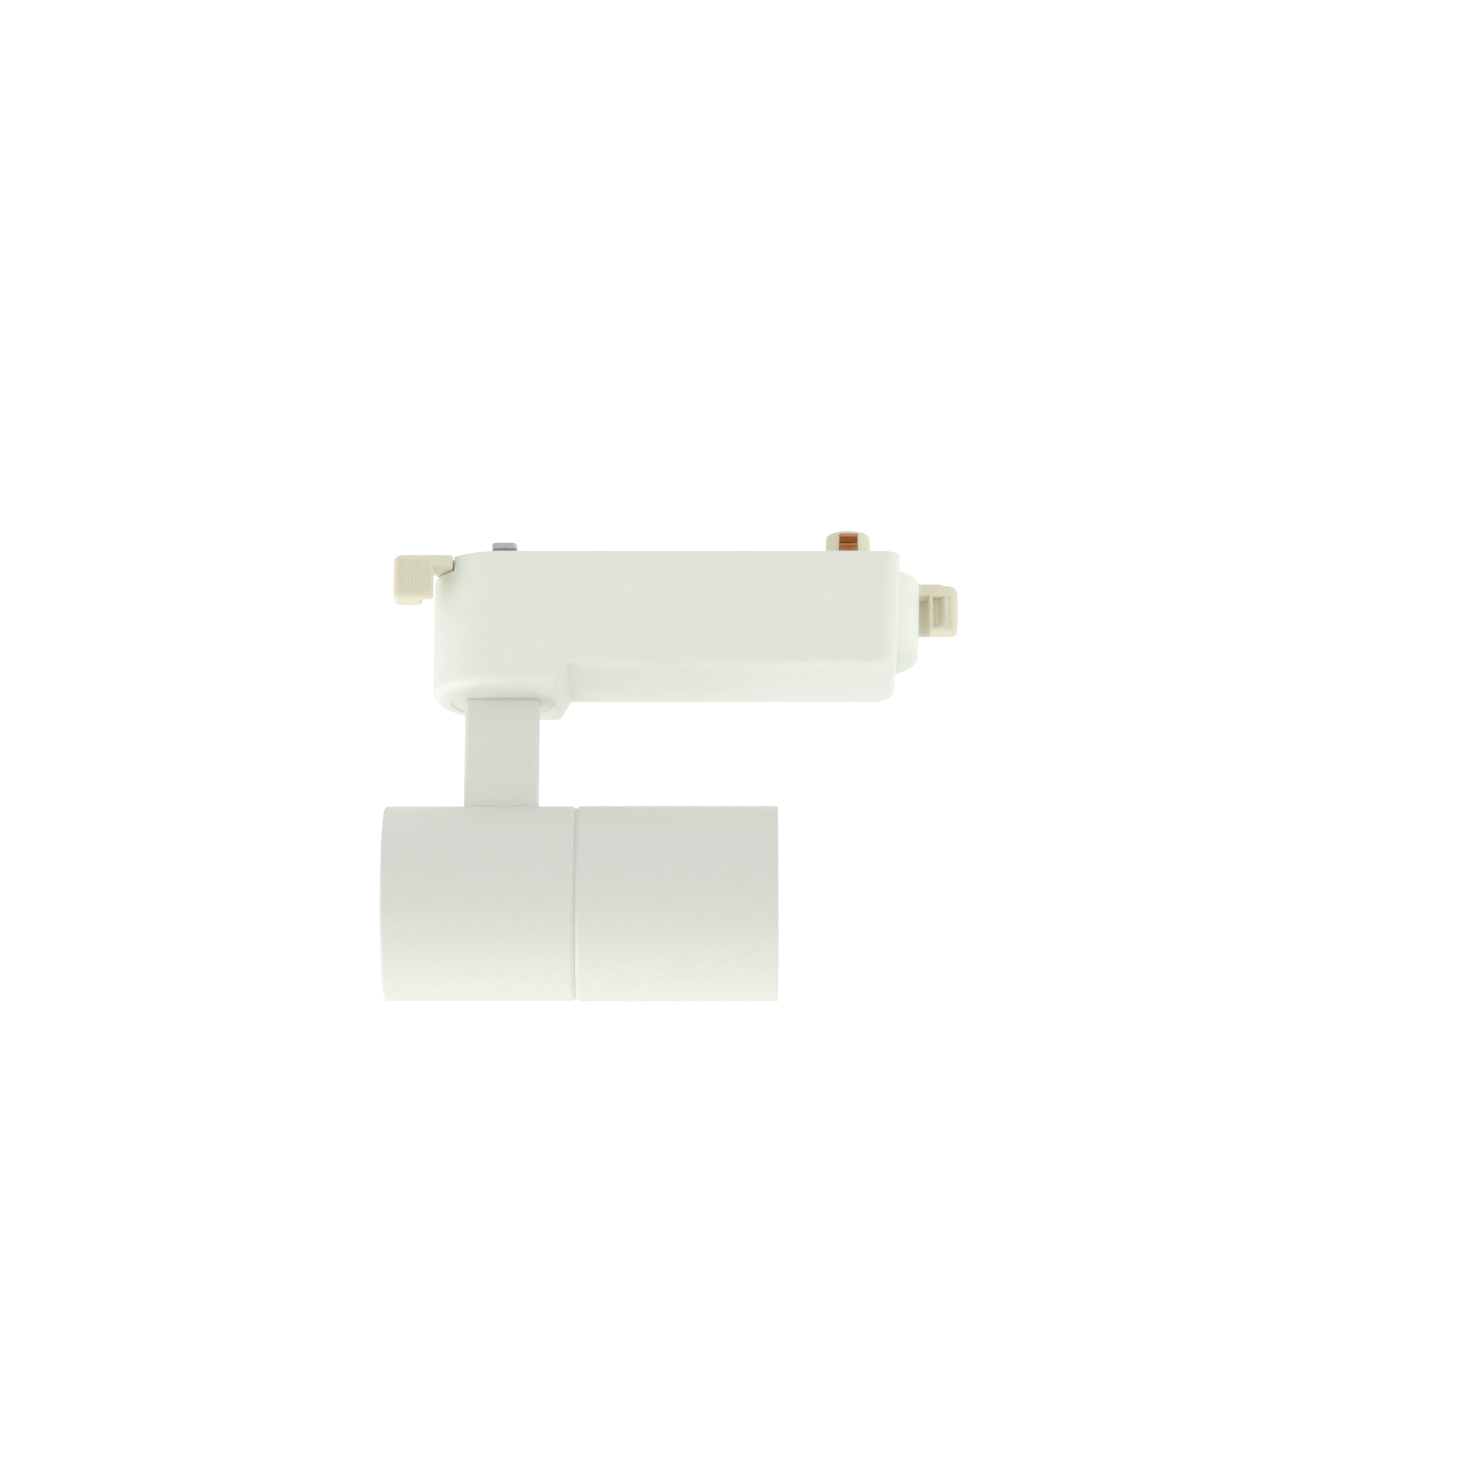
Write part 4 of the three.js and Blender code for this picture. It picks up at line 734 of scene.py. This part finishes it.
def makeLever(name, kind):
    s = leverShape
    outline = armOutline(kind["end"], kind["shoulder"])
    arm = soften(prism("arm", outline, s["armBottom"], s["armTop"]), s["armEdge"])
    grip = makeGrip(kind["end"], kind["depth"])
    cut(grip, makeScoop(kind["depth"]), makeGroove(kind["depth"]))
    return join(makeRotor(name, kind["nose"]), arm, grip)


# Where the two blades stand in the contact rotor: a slot each, wider at the foot and in the nose
slotShape = {"inner": 4.1, "outer": 5.1, "far": 7.5, "half": 2.3, "foot": -13.2, "knee": -7.5, "top": 8}


def contactSlots():
    s = slotShape
    tools = []
    for side in (-1, 1):
        for reach, low, high in ((s["outer"], s["foot"], s["top"]), (s["far"], s["foot"], s["knee"]),
                                 (s["far"], 0, s["top"])):
            near, far = sorted((side * s["inner"], side * reach))
            tools.append(block("slot", (-s["half"], near, low), (s["half"], far, high)))
    return tools


# An empty tree with its named inputs
def startTree(name, sockets):
    tree = bpy.data.node_groups.new(name, "GeometryNodeTree")
    tree.interface.new_socket("Geometry", in_out="OUTPUT", socket_type="NodeSocketGeometry")
    for socket, kind in sockets.items():
        tree.interface.new_socket(socket, in_out="INPUT", socket_type="NodeSocket" + kind)
    return tree, addNode(tree, "NodeGroupInput").outputs


# The last steps of a tree: copies become a plain mesh with its finish
def finishTree(tree, copies, finish):
    solid = addNode(tree, "GeometryNodeRealizeInstances", {"Geometry": copies})
    painted = addNode(tree, "GeometryNodeSetMaterial", {
        "Geometry": solid.outputs["Geometry"], "Material": finish})
    addNode(tree, "NodeGroupOutput", {"Geometry": painted.outputs["Geometry"]})


ribShape = {
    "pitch": 0.95, "radius": 0.32, "faceCount": 9, "cornerCount": 3,
    "faceSink": 0.12, "cornerSink": 0.17, "cornerStart": 0.6,  # how deep the ribs' axes lie in the grip
    "topShare": 0.6,  # they end this share of the grip's top rounding below its top
    "stations": 25, "sides": 10, "taper": 14.0, "tipWidth": 0.02,
}


# Ribs along the grip's outer face and round its far corner, each tapering away at both ends
def ribTree():
    s = ribShape
    tree, given = startTree("gripRibs", {
        "Face Count": "Int", "Corner Count": "Int", "Pitch": "Float", "Radius": "Float",
        "Low": "Float", "High": "Float", "Face Start": "Vector", "Corner Start": "Vector",
        "Place": "Vector", "Turn": "Vector", "Finish": "Material"})
    points = addNode(tree, "GeometryNodeJoinGeometry")
    for row, axis in (("Face", "X"), ("Corner", "Y")):
        step = addNode(tree, "ShaderNodeCombineXYZ", {axis: given["Pitch"]}).outputs["Vector"]
        line = addNode(tree, "GeometryNodeMeshLine", {
            "Count": given[row + " Count"], "Start Location": given[row + " Start"], "Offset": step})
        tree.links.new(line.outputs["Mesh"], points.inputs["Geometry"])
    low = addNode(tree, "ShaderNodeCombineXYZ", {"Z": given["Low"]})
    high = addNode(tree, "ShaderNodeCombineXYZ", {"Z": given["High"]})
    upright = addNode(tree, "GeometryNodeCurvePrimitiveLine", {
        "Start": low.outputs["Vector"], "End": high.outputs["Vector"]})
    spine = addNode(tree, "GeometryNodeResampleCurve", {
        "Curve": upright.outputs["Curve"], "Count": s["stations"]})
    # Full width at the middle, and next to nothing at the two ends
    along = addNode(tree, "GeometryNodeSplineParameter").outputs["Factor"]
    centred = addNode(tree, "ShaderNodeMath", {0: along, 1: 2.0, 2: -1.0}, operation="MULTIPLY_ADD")
    span = addNode(tree, "ShaderNodeMath", {0: centred.outputs[0]}, operation="ABSOLUTE")
    lost = addNode(tree, "ShaderNodeMath", {0: span.outputs[0], 1: s["taper"]}, operation="POWER")
    kept = addNode(tree, "ShaderNodeMath", {0: 1 + s["tipWidth"], 1: lost.outputs[0]}, operation="SUBTRACT")
    width = addNode(tree, "ShaderNodeMath", {0: kept.outputs[0], 1: given["Radius"]}, operation="MULTIPLY")
    ring = addNode(tree, "GeometryNodeCurvePrimitiveCircle", {"Resolution": s["sides"], "Radius": 1.0})
    rib = addNode(tree, "GeometryNodeCurveToMesh", {
        "Curve": spine.outputs["Curve"], "Profile Curve": ring.outputs["Curve"],
        "Scale": width.outputs[0], "Fill Caps": True})
    copies = addNode(tree, "GeometryNodeInstanceOnPoints", {
        "Points": points.outputs["Geometry"], "Instance": rib.outputs["Mesh"]})
    stood = addNode(tree, "GeometryNodeTransform", {
        "Geometry": copies.outputs["Instances"], "Translation": given["Place"], "Rotation": given["Turn"]})
    finishTree(tree, stood.outputs["Geometry"], given["Finish"])
    return tree


# A plain mesh grown by a tree from the values of its named inputs
def grown(name, tree, values):
    piece = newPiece(name, [(0, 0, 0)], [])
    grow = piece.modifiers.new("grow", "NODES")
    grow.node_group = tree
    for item in tree.interface.items_tree:
        if item.in_out == "INPUT" and item.name in values:
            grow[item.identifier] = values[item.name]
    return bake(piece)


leverRibs = ribTree()


def makeRibs(name, kind, x, turn):
    s, r = leverShape, ribShape
    face, back = s["face"], s["face"] - s["thickness"]
    return grown(name, leverRibs, {
        "Face Count": r["faceCount"], "Corner Count": r["cornerCount"],
        "Pitch": r["pitch"] * unit, "Radius": r["radius"] * unit,
        "Low": (s["edge"] - kind["depth"]) * unit,
        "High": (s["armTop"] - s["topRound"] * r["topShare"]) * unit,
        "Face Start": ((s["inner"] + r["pitch"]) * unit, (face - r["faceSink"]) * unit, 0),
        "Corner Start": ((kind["end"] - r["cornerSink"]) * unit,
                         (back + r["cornerStart"] + r["pitch"]) * unit, 0),
        "Place": (x * unit, 0, 0), "Turn": (0, 0, turn * degree), "Finish": ivory})


contactPlace = moved(housingShape["rotor"], 0, 0)
lockPlace = moved(-housingShape["rotor"], 0, 0) @ Matrix.Rotation(math.pi, 4, "Z")
lockPilot = {"radius": 1.6, "low": -7.1, "high": 4}

contactLever = cut(makeLever("contactLever", contactKind), *contactSlots())
handIn(place(contactLever, contactPlace), "contact_rotor", ivory, "lever_plastic", "contact_lever")
lockLever = cut(makeLever("lockLever", lockKind), rod("pilot", **lockPilot, steps=32))
handIn(place(lockLever, lockPlace), "lock_rotor", ivory, "lever_plastic", "lock_lever")
contactRibs = makeRibs("contactGripRibs", contactKind, housingShape["rotor"], 0)
handIn(contactRibs, "contact_rotor", ivory, "lever_plastic")
lockRibs = makeRibs("lockGripRibs", lockKind, -housingShape["rotor"], 180)
handIn(lockRibs, "lock_rotor", ivory, "lever_plastic")
print("levers ready")


# What the rotors carry: two bent contact blades, and a lock plate held by a screw

bladeShape = {
    "reach": 10.2, "level": 6.3, "leg": 4.6, "bend": 0.9, "kneeTop": -7.9, "kneeDrop": 1.6,
    "foot": 5.8, "footEnd": -11.2, "thickness": 0.8, "width": 4.4, "edge": 0.15, "steps": 10,
}
plateShape = {
    "low": 3, "thickness": 1.5, "width": 6, "reach": 9.8, "corner": 1.2, "edge": 0.2,
    "hole": 1.6, "holeHead": 2.8,
}
screwShape = {
    "lidTop": -0.4, "lidScrew": (1.2, 2.6, 13),  # radius, head radius and length
    "lockScrew": (1.5, 2.6, 9), "lockTurn": 0.4,
    "point": 0.3,  # the point's width, as a share of the shank's
    "edge": 0.1, "rim": (0.6, 1.5),  # the head's rounded rim goes down and in by these shares of its edge
    "driveHalf": 0.4, "driveReach": 0.55, "driveDepth": 0.7, "driveFoot": (0.45, 0.7),
}


# One strip: lug at the top, bend, upright leg, and a knee to the wiping foot
def makeBlade(name):
    s = bladeShape
    steps = s["steps"]
    path = [(s["reach"], s["level"])]
    path += arc(s["leg"] + s["bend"], s["level"] - s["bend"], s["bend"], 90, 180, steps)
    for i in range(steps + 1):
        share = i / steps
        eased = share * share * (3 - 2 * share)
        path.append((s["leg"] + (s["foot"] - s["leg"]) * eased, s["kneeTop"] - s["kneeDrop"] * share))
    path.append((s["foot"], s["footEnd"]))
    outer, inner = [], []
    for i, (y, z) in enumerate(path):
        before, after = path[max(i - 1, 0)], path[min(i + 1, len(path) - 1)]
        run = Vector((after[0] - before[0], after[1] - before[1])).normalized() * s["thickness"] / 2
        outer.append((y - run.y, z + run.x))
        inner.append((y + run.y, z - run.x))
    blade = prism(name, outer + inner[::-1], -s["width"] / 2, s["width"] / 2)
    return place(soften(blade, s["edge"], segments=2, angle=50), acrossX)


def makeLockPlate():
    s = plateShape
    high, corner = s["low"] + s["thickness"], s["corner"]
    side, end = s["width"] / 2 - corner, s["reach"] - corner
    outline = []
    for turn, x, y in ((0, side, end), (90, -side, end), (180, -side, -end), (270, side, -end)):
        outline += arc(x, y, corner, turn, turn + 90, steps=8)
    plate = soften(prism("lockPlate", outline, s["low"], high), s["edge"])
    return cut(plate, countersink("hole", high, s["hole"], s["holeHead"], s["low"] - over))


# The outline of a cross drive, one arm at each quarter turn
def crossOutline(reach, half):
    arm = [(reach, -half), (reach, half), (half, half)]
    return [(x * c - y * d, x * d + y * c) for c, d in ((1, 0), (0, 1), (-1, 0), (0, -1)) for x, y in arm]


# A countersunk screw with a cross drive, standing on its point
def makeScrew(name, top, radius, head, length):
    s = screwShape
    cone, edge, point = head - radius, s["edge"], top - length - radius
    down, inward = s["rim"]
    screw = turned(name, [
        (0, point), (s["point"] * radius, point), (radius, top - length), (radius, top - cone),
        (head - edge, top - edge), (head - edge, top - down * edge), (head - inward * edge, top),
        (0, top)], steps=64)
    reach, half = s["driveReach"] * head, s["driveHalf"]
    footReach, footHalf = s["driveFoot"]
    wide, narrow = crossOutline(reach, half), crossOutline(footReach * reach, footHalf * half)
    depth = s["driveDepth"] * cone
    return cut(screw, loft("drive", [(narrow, top - depth), (wide, top), (wide, top + over)]))


# The same screw at the four corners of a rectangle, each driven home to its own turn
def screwTree():
    tree, given = startTree("cornerScrews", {
        "Along": "Float", "Across": "Float", "Screw": "Object", "Finish": "Material"})
    corners = addNode(tree, "GeometryNodeMeshGrid", {
        "Size X": given["Along"], "Size Y": given["Across"], "Vertices X": 2, "Vertices Y": 2})
    screw = addNode(tree, "GeometryNodeObjectInfo", {"Object": given["Screw"]})
    turn = addNode(tree, "FunctionNodeRandomValue", {
        0: (0, 0, 0), 1: (0, 0, math.pi / 2), "Seed": 4}, data_type="FLOAT_VECTOR")
    copies = addNode(tree, "GeometryNodeInstanceOnPoints", {
        "Points": corners.outputs["Mesh"], "Instance": screw.outputs["Geometry"],
        "Rotation": turn.outputs["Value"]})
    finishTree(tree, copies.outputs["Instances"], given["Finish"])
    return tree


liveBlade = place(makeBlade("liveBlade"), contactPlace)
handIn(liveBlade, "contact_rotor", bronze, "copper", "live_blade")
neutralBlade = place(makeBlade("neutralBlade"), contactPlace @ Matrix.Rotation(math.pi, 4, "Z"))
handIn(neutralBlade, "contact_rotor", bronze, "copper", "neutral_blade")

handIn(place(makeLockPlate(), lockPlace), "lock_rotor", zinc, "zinc_steel", "lock_plate")
lockScrew = makeScrew("lockScrew", plateShape["low"] + plateShape["thickness"], *screwShape["lockScrew"])
place(lockScrew, lockPlace @ Matrix.Rotation(screwShape["lockTurn"], 4, "Z"))
handIn(lockScrew, "lock_rotor", zinc, "zinc_steel", "lock_screw")

lidScrew = makeScrew("lidScrew", screwShape["lidTop"], *screwShape["lidScrew"])
along, across = housingShape["post"]
lidScrews = grown("lidScrews", screwTree(), {
    "Along": 2 * along * unit, "Across": 2 * across * unit, "Screw": lidScrew, "Finish": zinc})
bpy.data.objects.remove(lidScrew)
handIn(lidScrews, "adapter", zinc, "zinc_steel", *[f"lid_screw_{i}" for i in range(1, 5)])
print("blades, lock plate and screws ready")


# Stem with its flange and hollow spigot

stemShape = {
    "axis": -42.2, "width": 18, "thickness": 7, "edge": 1.3, "pivot": -83.55, "eye": 2.65,
    "flange": 12.49, "flangeFace": -33.1, "flangeTop": -31.05, "flangeEdge": 0.04,
    "spigot": 5, "spigotTop": -19.3, "spigotEdge": 0.3, "bore": 3,
    "leadWay": 1.75, "wayFoot": -68.55, "window": (-73.55, -62.05), "windowDepth": 0.6,
}


def makeStem():
    s = stemShape
    half, thickness, face = s["width"] / 2, s["thickness"], s["flangeFace"]
    outline = [(half, face + lap), (-half, face + lap)] + arc(0, s["pivot"], half, 180, 360, steps=48)
    bar = place(prism("swivelStem", outline, -thickness / 2, thickness / 2), uprightXZ)
    soften(bar, s["edge"], segments=6, angle=50)
    flange, rim, spigot, spigotEdge = s["flange"], s["flangeEdge"], s["spigot"], s["spigotEdge"]
    join(bar, turned("flange", [
        (0, face), (flange - rim, face), (flange, face + rim), (flange, s["flangeTop"]),
        (spigot, s["flangeTop"]), (spigot, s["spigotTop"] - spigotEdge),
        (spigot - spigotEdge, s["spigotTop"]), (0, s["spigotTop"])]))
    way, bore, top = s["leadWay"], s["bore"], s["spigotTop"] + over
    leadBore = turned("bore", [
        (0, s["wayFoot"]), (way, s["wayFoot"]), (way, s["flangeTop"]), (bore, s["flangeTop"]),
        (bore, top), (0, top)], steps=48)
    low, high = s["window"]
    window = block("window", (-way, -thickness, low), (way, s["windowDepth"], high))
    eye = rod("eye", s["eye"], -thickness, thickness)
    place(eye, moved(0, 0, s["pivot"]) @ Matrix.Rotation(math.pi / 2, 4, "X"))
    return cut(bar, leadBore, window, eye)


handIn(place(makeStem(), moved(stemShape["axis"], 0, 0)), "swivel", litStemPaint, "head_paint", "stem")
print("stem ready")


# Head: drawn about its own axis, then laid along +X at the tilt axis

headShape = {
    "rearRadius": 23.4, "frontRadius": 23.5, "rearEnd": 27.8, "front": 66.75,
    "rearWall": 2.2, "cap": 2.5, "frontWall": 2, "rearEdge": 0.8,
    "seam": 18.3, "seamGap": 0.01, "seamChamfer": 0.95, "seamDepth": 0.6,
    "frontEdge": (0.3, 0.09), "mouthEdge": 0.5,  # the front's rounded edge and its middle point
    "slotHalf": 3.8, "slotReach": 9.3, "slotEdge": 0.25, "steps": 160,
}
headPlace = moved(stemShape["axis"], 0, stemShape["pivot"])


def makeRear():
    s = headShape
    r, edge, end = s["rearRadius"], s["rearEdge"], s["rearEnd"]
    front, inner, cap = s["seam"] - s["seamGap"] / 2, r - s["rearWall"], s["cap"] - end
    corner = [(r - edge + edge * math.sin(a * degree), edge - edge * math.cos(a * degree) - end)
              for a in range(0, 91, 10)]
    profile = [(0, -end)] + corner + [
        (r, front - s["seamChamfer"]), (r - s["seamDepth"], front), (inner, front), (inner, cap), (0, cap)]
    shell = place(turned("rearHousing", profile, s["steps"]), alongX)
    half, reach = s["slotHalf"], s["slotReach"]
    topSlot = block("slot", (-end - over, -half, 0), (reach, half, r + over))
    capSlot = block("slot", (-end - over, -half, -reach), (cap + over, half, r + over))
    return soften(cut(shell, topSlot, capSlot), s["slotEdge"], segments=2, angle=60)


def makeFront():
    s = headShape
    r, mouth, front = s["frontRadius"], s["mouthEdge"], s["front"]
    back, inner = s["seam"] + s["seamGap"] / 2, r - s["frontWall"]
    edge, bow = s["frontEdge"]
    profile = [
        (inner, back), (r - s["seamDepth"], back), (r, back + s["seamChamfer"]), (r, front - edge),
        (r - bow, front - bow), (r - edge, front), (inner + mouth, front), (inner, front - mouth)]
    return place(turned("frontTube", profile, s["steps"], ring=True), alongX)


handIn(place(makeRear(), headPlace), "head", paint, "head_paint", "rear_housing")
handIn(place(makeFront(), headPlace), "head", paint, "head_paint", "front_tube")
print("head shell ready")


# Optics

opticShape = {
    "back": 28.1, "length": 25, "throat": 6.6, "mouth": 20.2, "outer": 21.4, "rim": 1.2, "skin": 0.9,
    "steps": 24, "crowd": 1.6, "bowl": 0.55,  # points crowd at the throat, and the bowl's curve
    "lensBack": 53.2, "lens": 2, "lensEdge": 0.15, "ringBack": 55.3, "ring": 1.8, "ringWidth": 1.7,
    "ringEdge": 0.2, "ringSlope": 0.8, "ringBow": (0.5, 0.1),
}


def makeReflector():
    s = opticShape
    length, front = s["length"] - s["rim"], s["back"] + s["length"]
    inside = []
    for i in range(s["steps"] + 1):
        share = (i / s["steps"]) ** s["crowd"]
        radius = s["throat"] + (s["mouth"] - s["throat"]) * share ** s["bowl"]
        inside.append((radius, s["back"] + length * share))
    outside = [(radius + s["skin"], height) for radius, height in inside[:-1]]
    profile = [point for point in outside if point[0] < s["outer"]]
    profile += [(s["outer"], front - s["rim"]), (s["outer"], front), (s["mouth"], front)] + inside[::-1]
    return place(turned("spunReflector", profile, ring=True), alongX)


def makeLens():
    s = opticShape
    outer, edge, back, front = s["outer"], s["lensEdge"], s["lensBack"], s["lensBack"] + s["lens"]
    return place(turned("frontLens", [
        (0, back), (outer - edge, back), (outer, back + edge), (outer, front - edge),
        (outer - edge, front), (0, front)]), alongX)


def makeRing():
    s = opticShape
    outer, edge, slope = s["outer"], s["ringEdge"], s["ringSlope"]
    inner, back, front = outer - s["ringWidth"], s["ringBack"], s["ringBack"] + s["ring"]
    bowIn, bowDown = s["ringBow"]
    return place(turned("lensRing", [
        (inner, back), (outer, back), (outer, front - edge), (outer - edge, front), (inner + slope, front),
        (inner + bowIn, front - bowDown), (inner, front - slope)], ring=True), alongX)


handIn(place(makeReflector(), headPlace), "head", mirror, "mirror_aluminium", "reflector")
handIn(place(makeLens(), headPlace), "head", acrylic, "clear_plastic", "front_lens")
handIn(place(makeRing(), headPlace), "head", paint, "head_paint", "lens_ring")
print("optics ready")


# The inner pieces stay as they are and get their finishes

finishes = {
    "housing_plastic": white, "head_paint": paint, "lever_plastic": ivory, "zinc_steel": zinc,
    "copper": bronze, "cast_aluminium": cast, "mirror_aluminium": mirror, "nylon": nylon,
    "board": laminate, "ferrite": ferrite, "can_sleeve": sleeve, "film_case": filmCase,
    "black_plastic": moulding, "white_ceramic": ceramicWhite, "phosphor": phosphorGel,
    "clear_plastic": acrylic, "lead_sleeve": leadSleeve,
}
for part in frame["record"]["subparts"]:
    node = frame["nodes"][part["node"]]
    node.data.materials.clear()
    node.data.materials.append(finishes[part["material_slot"]])
print("inner pieces ready")


# A wide pale floor, far below

floorShape = {"level": -1300, "half": 12000, "thickness": 10, "mottle": 200}


def makeFloor():
    s = floorShape
    half, level = s["half"], s["level"]
    finish, tree, shader, coords = newFinish("paleStudioFloor", {"Roughness": 0.8})
    twoTone(tree, shader, grain(tree, coords, s["mottle"]), "#f0f0ee", "#f2f2f0")
    floor = block("floor", (-half, -half, level - s["thickness"]), (half, half, level))
    floor.data.materials.append(finish)
    return floor


floor = makeFloor()

print("scene ready")
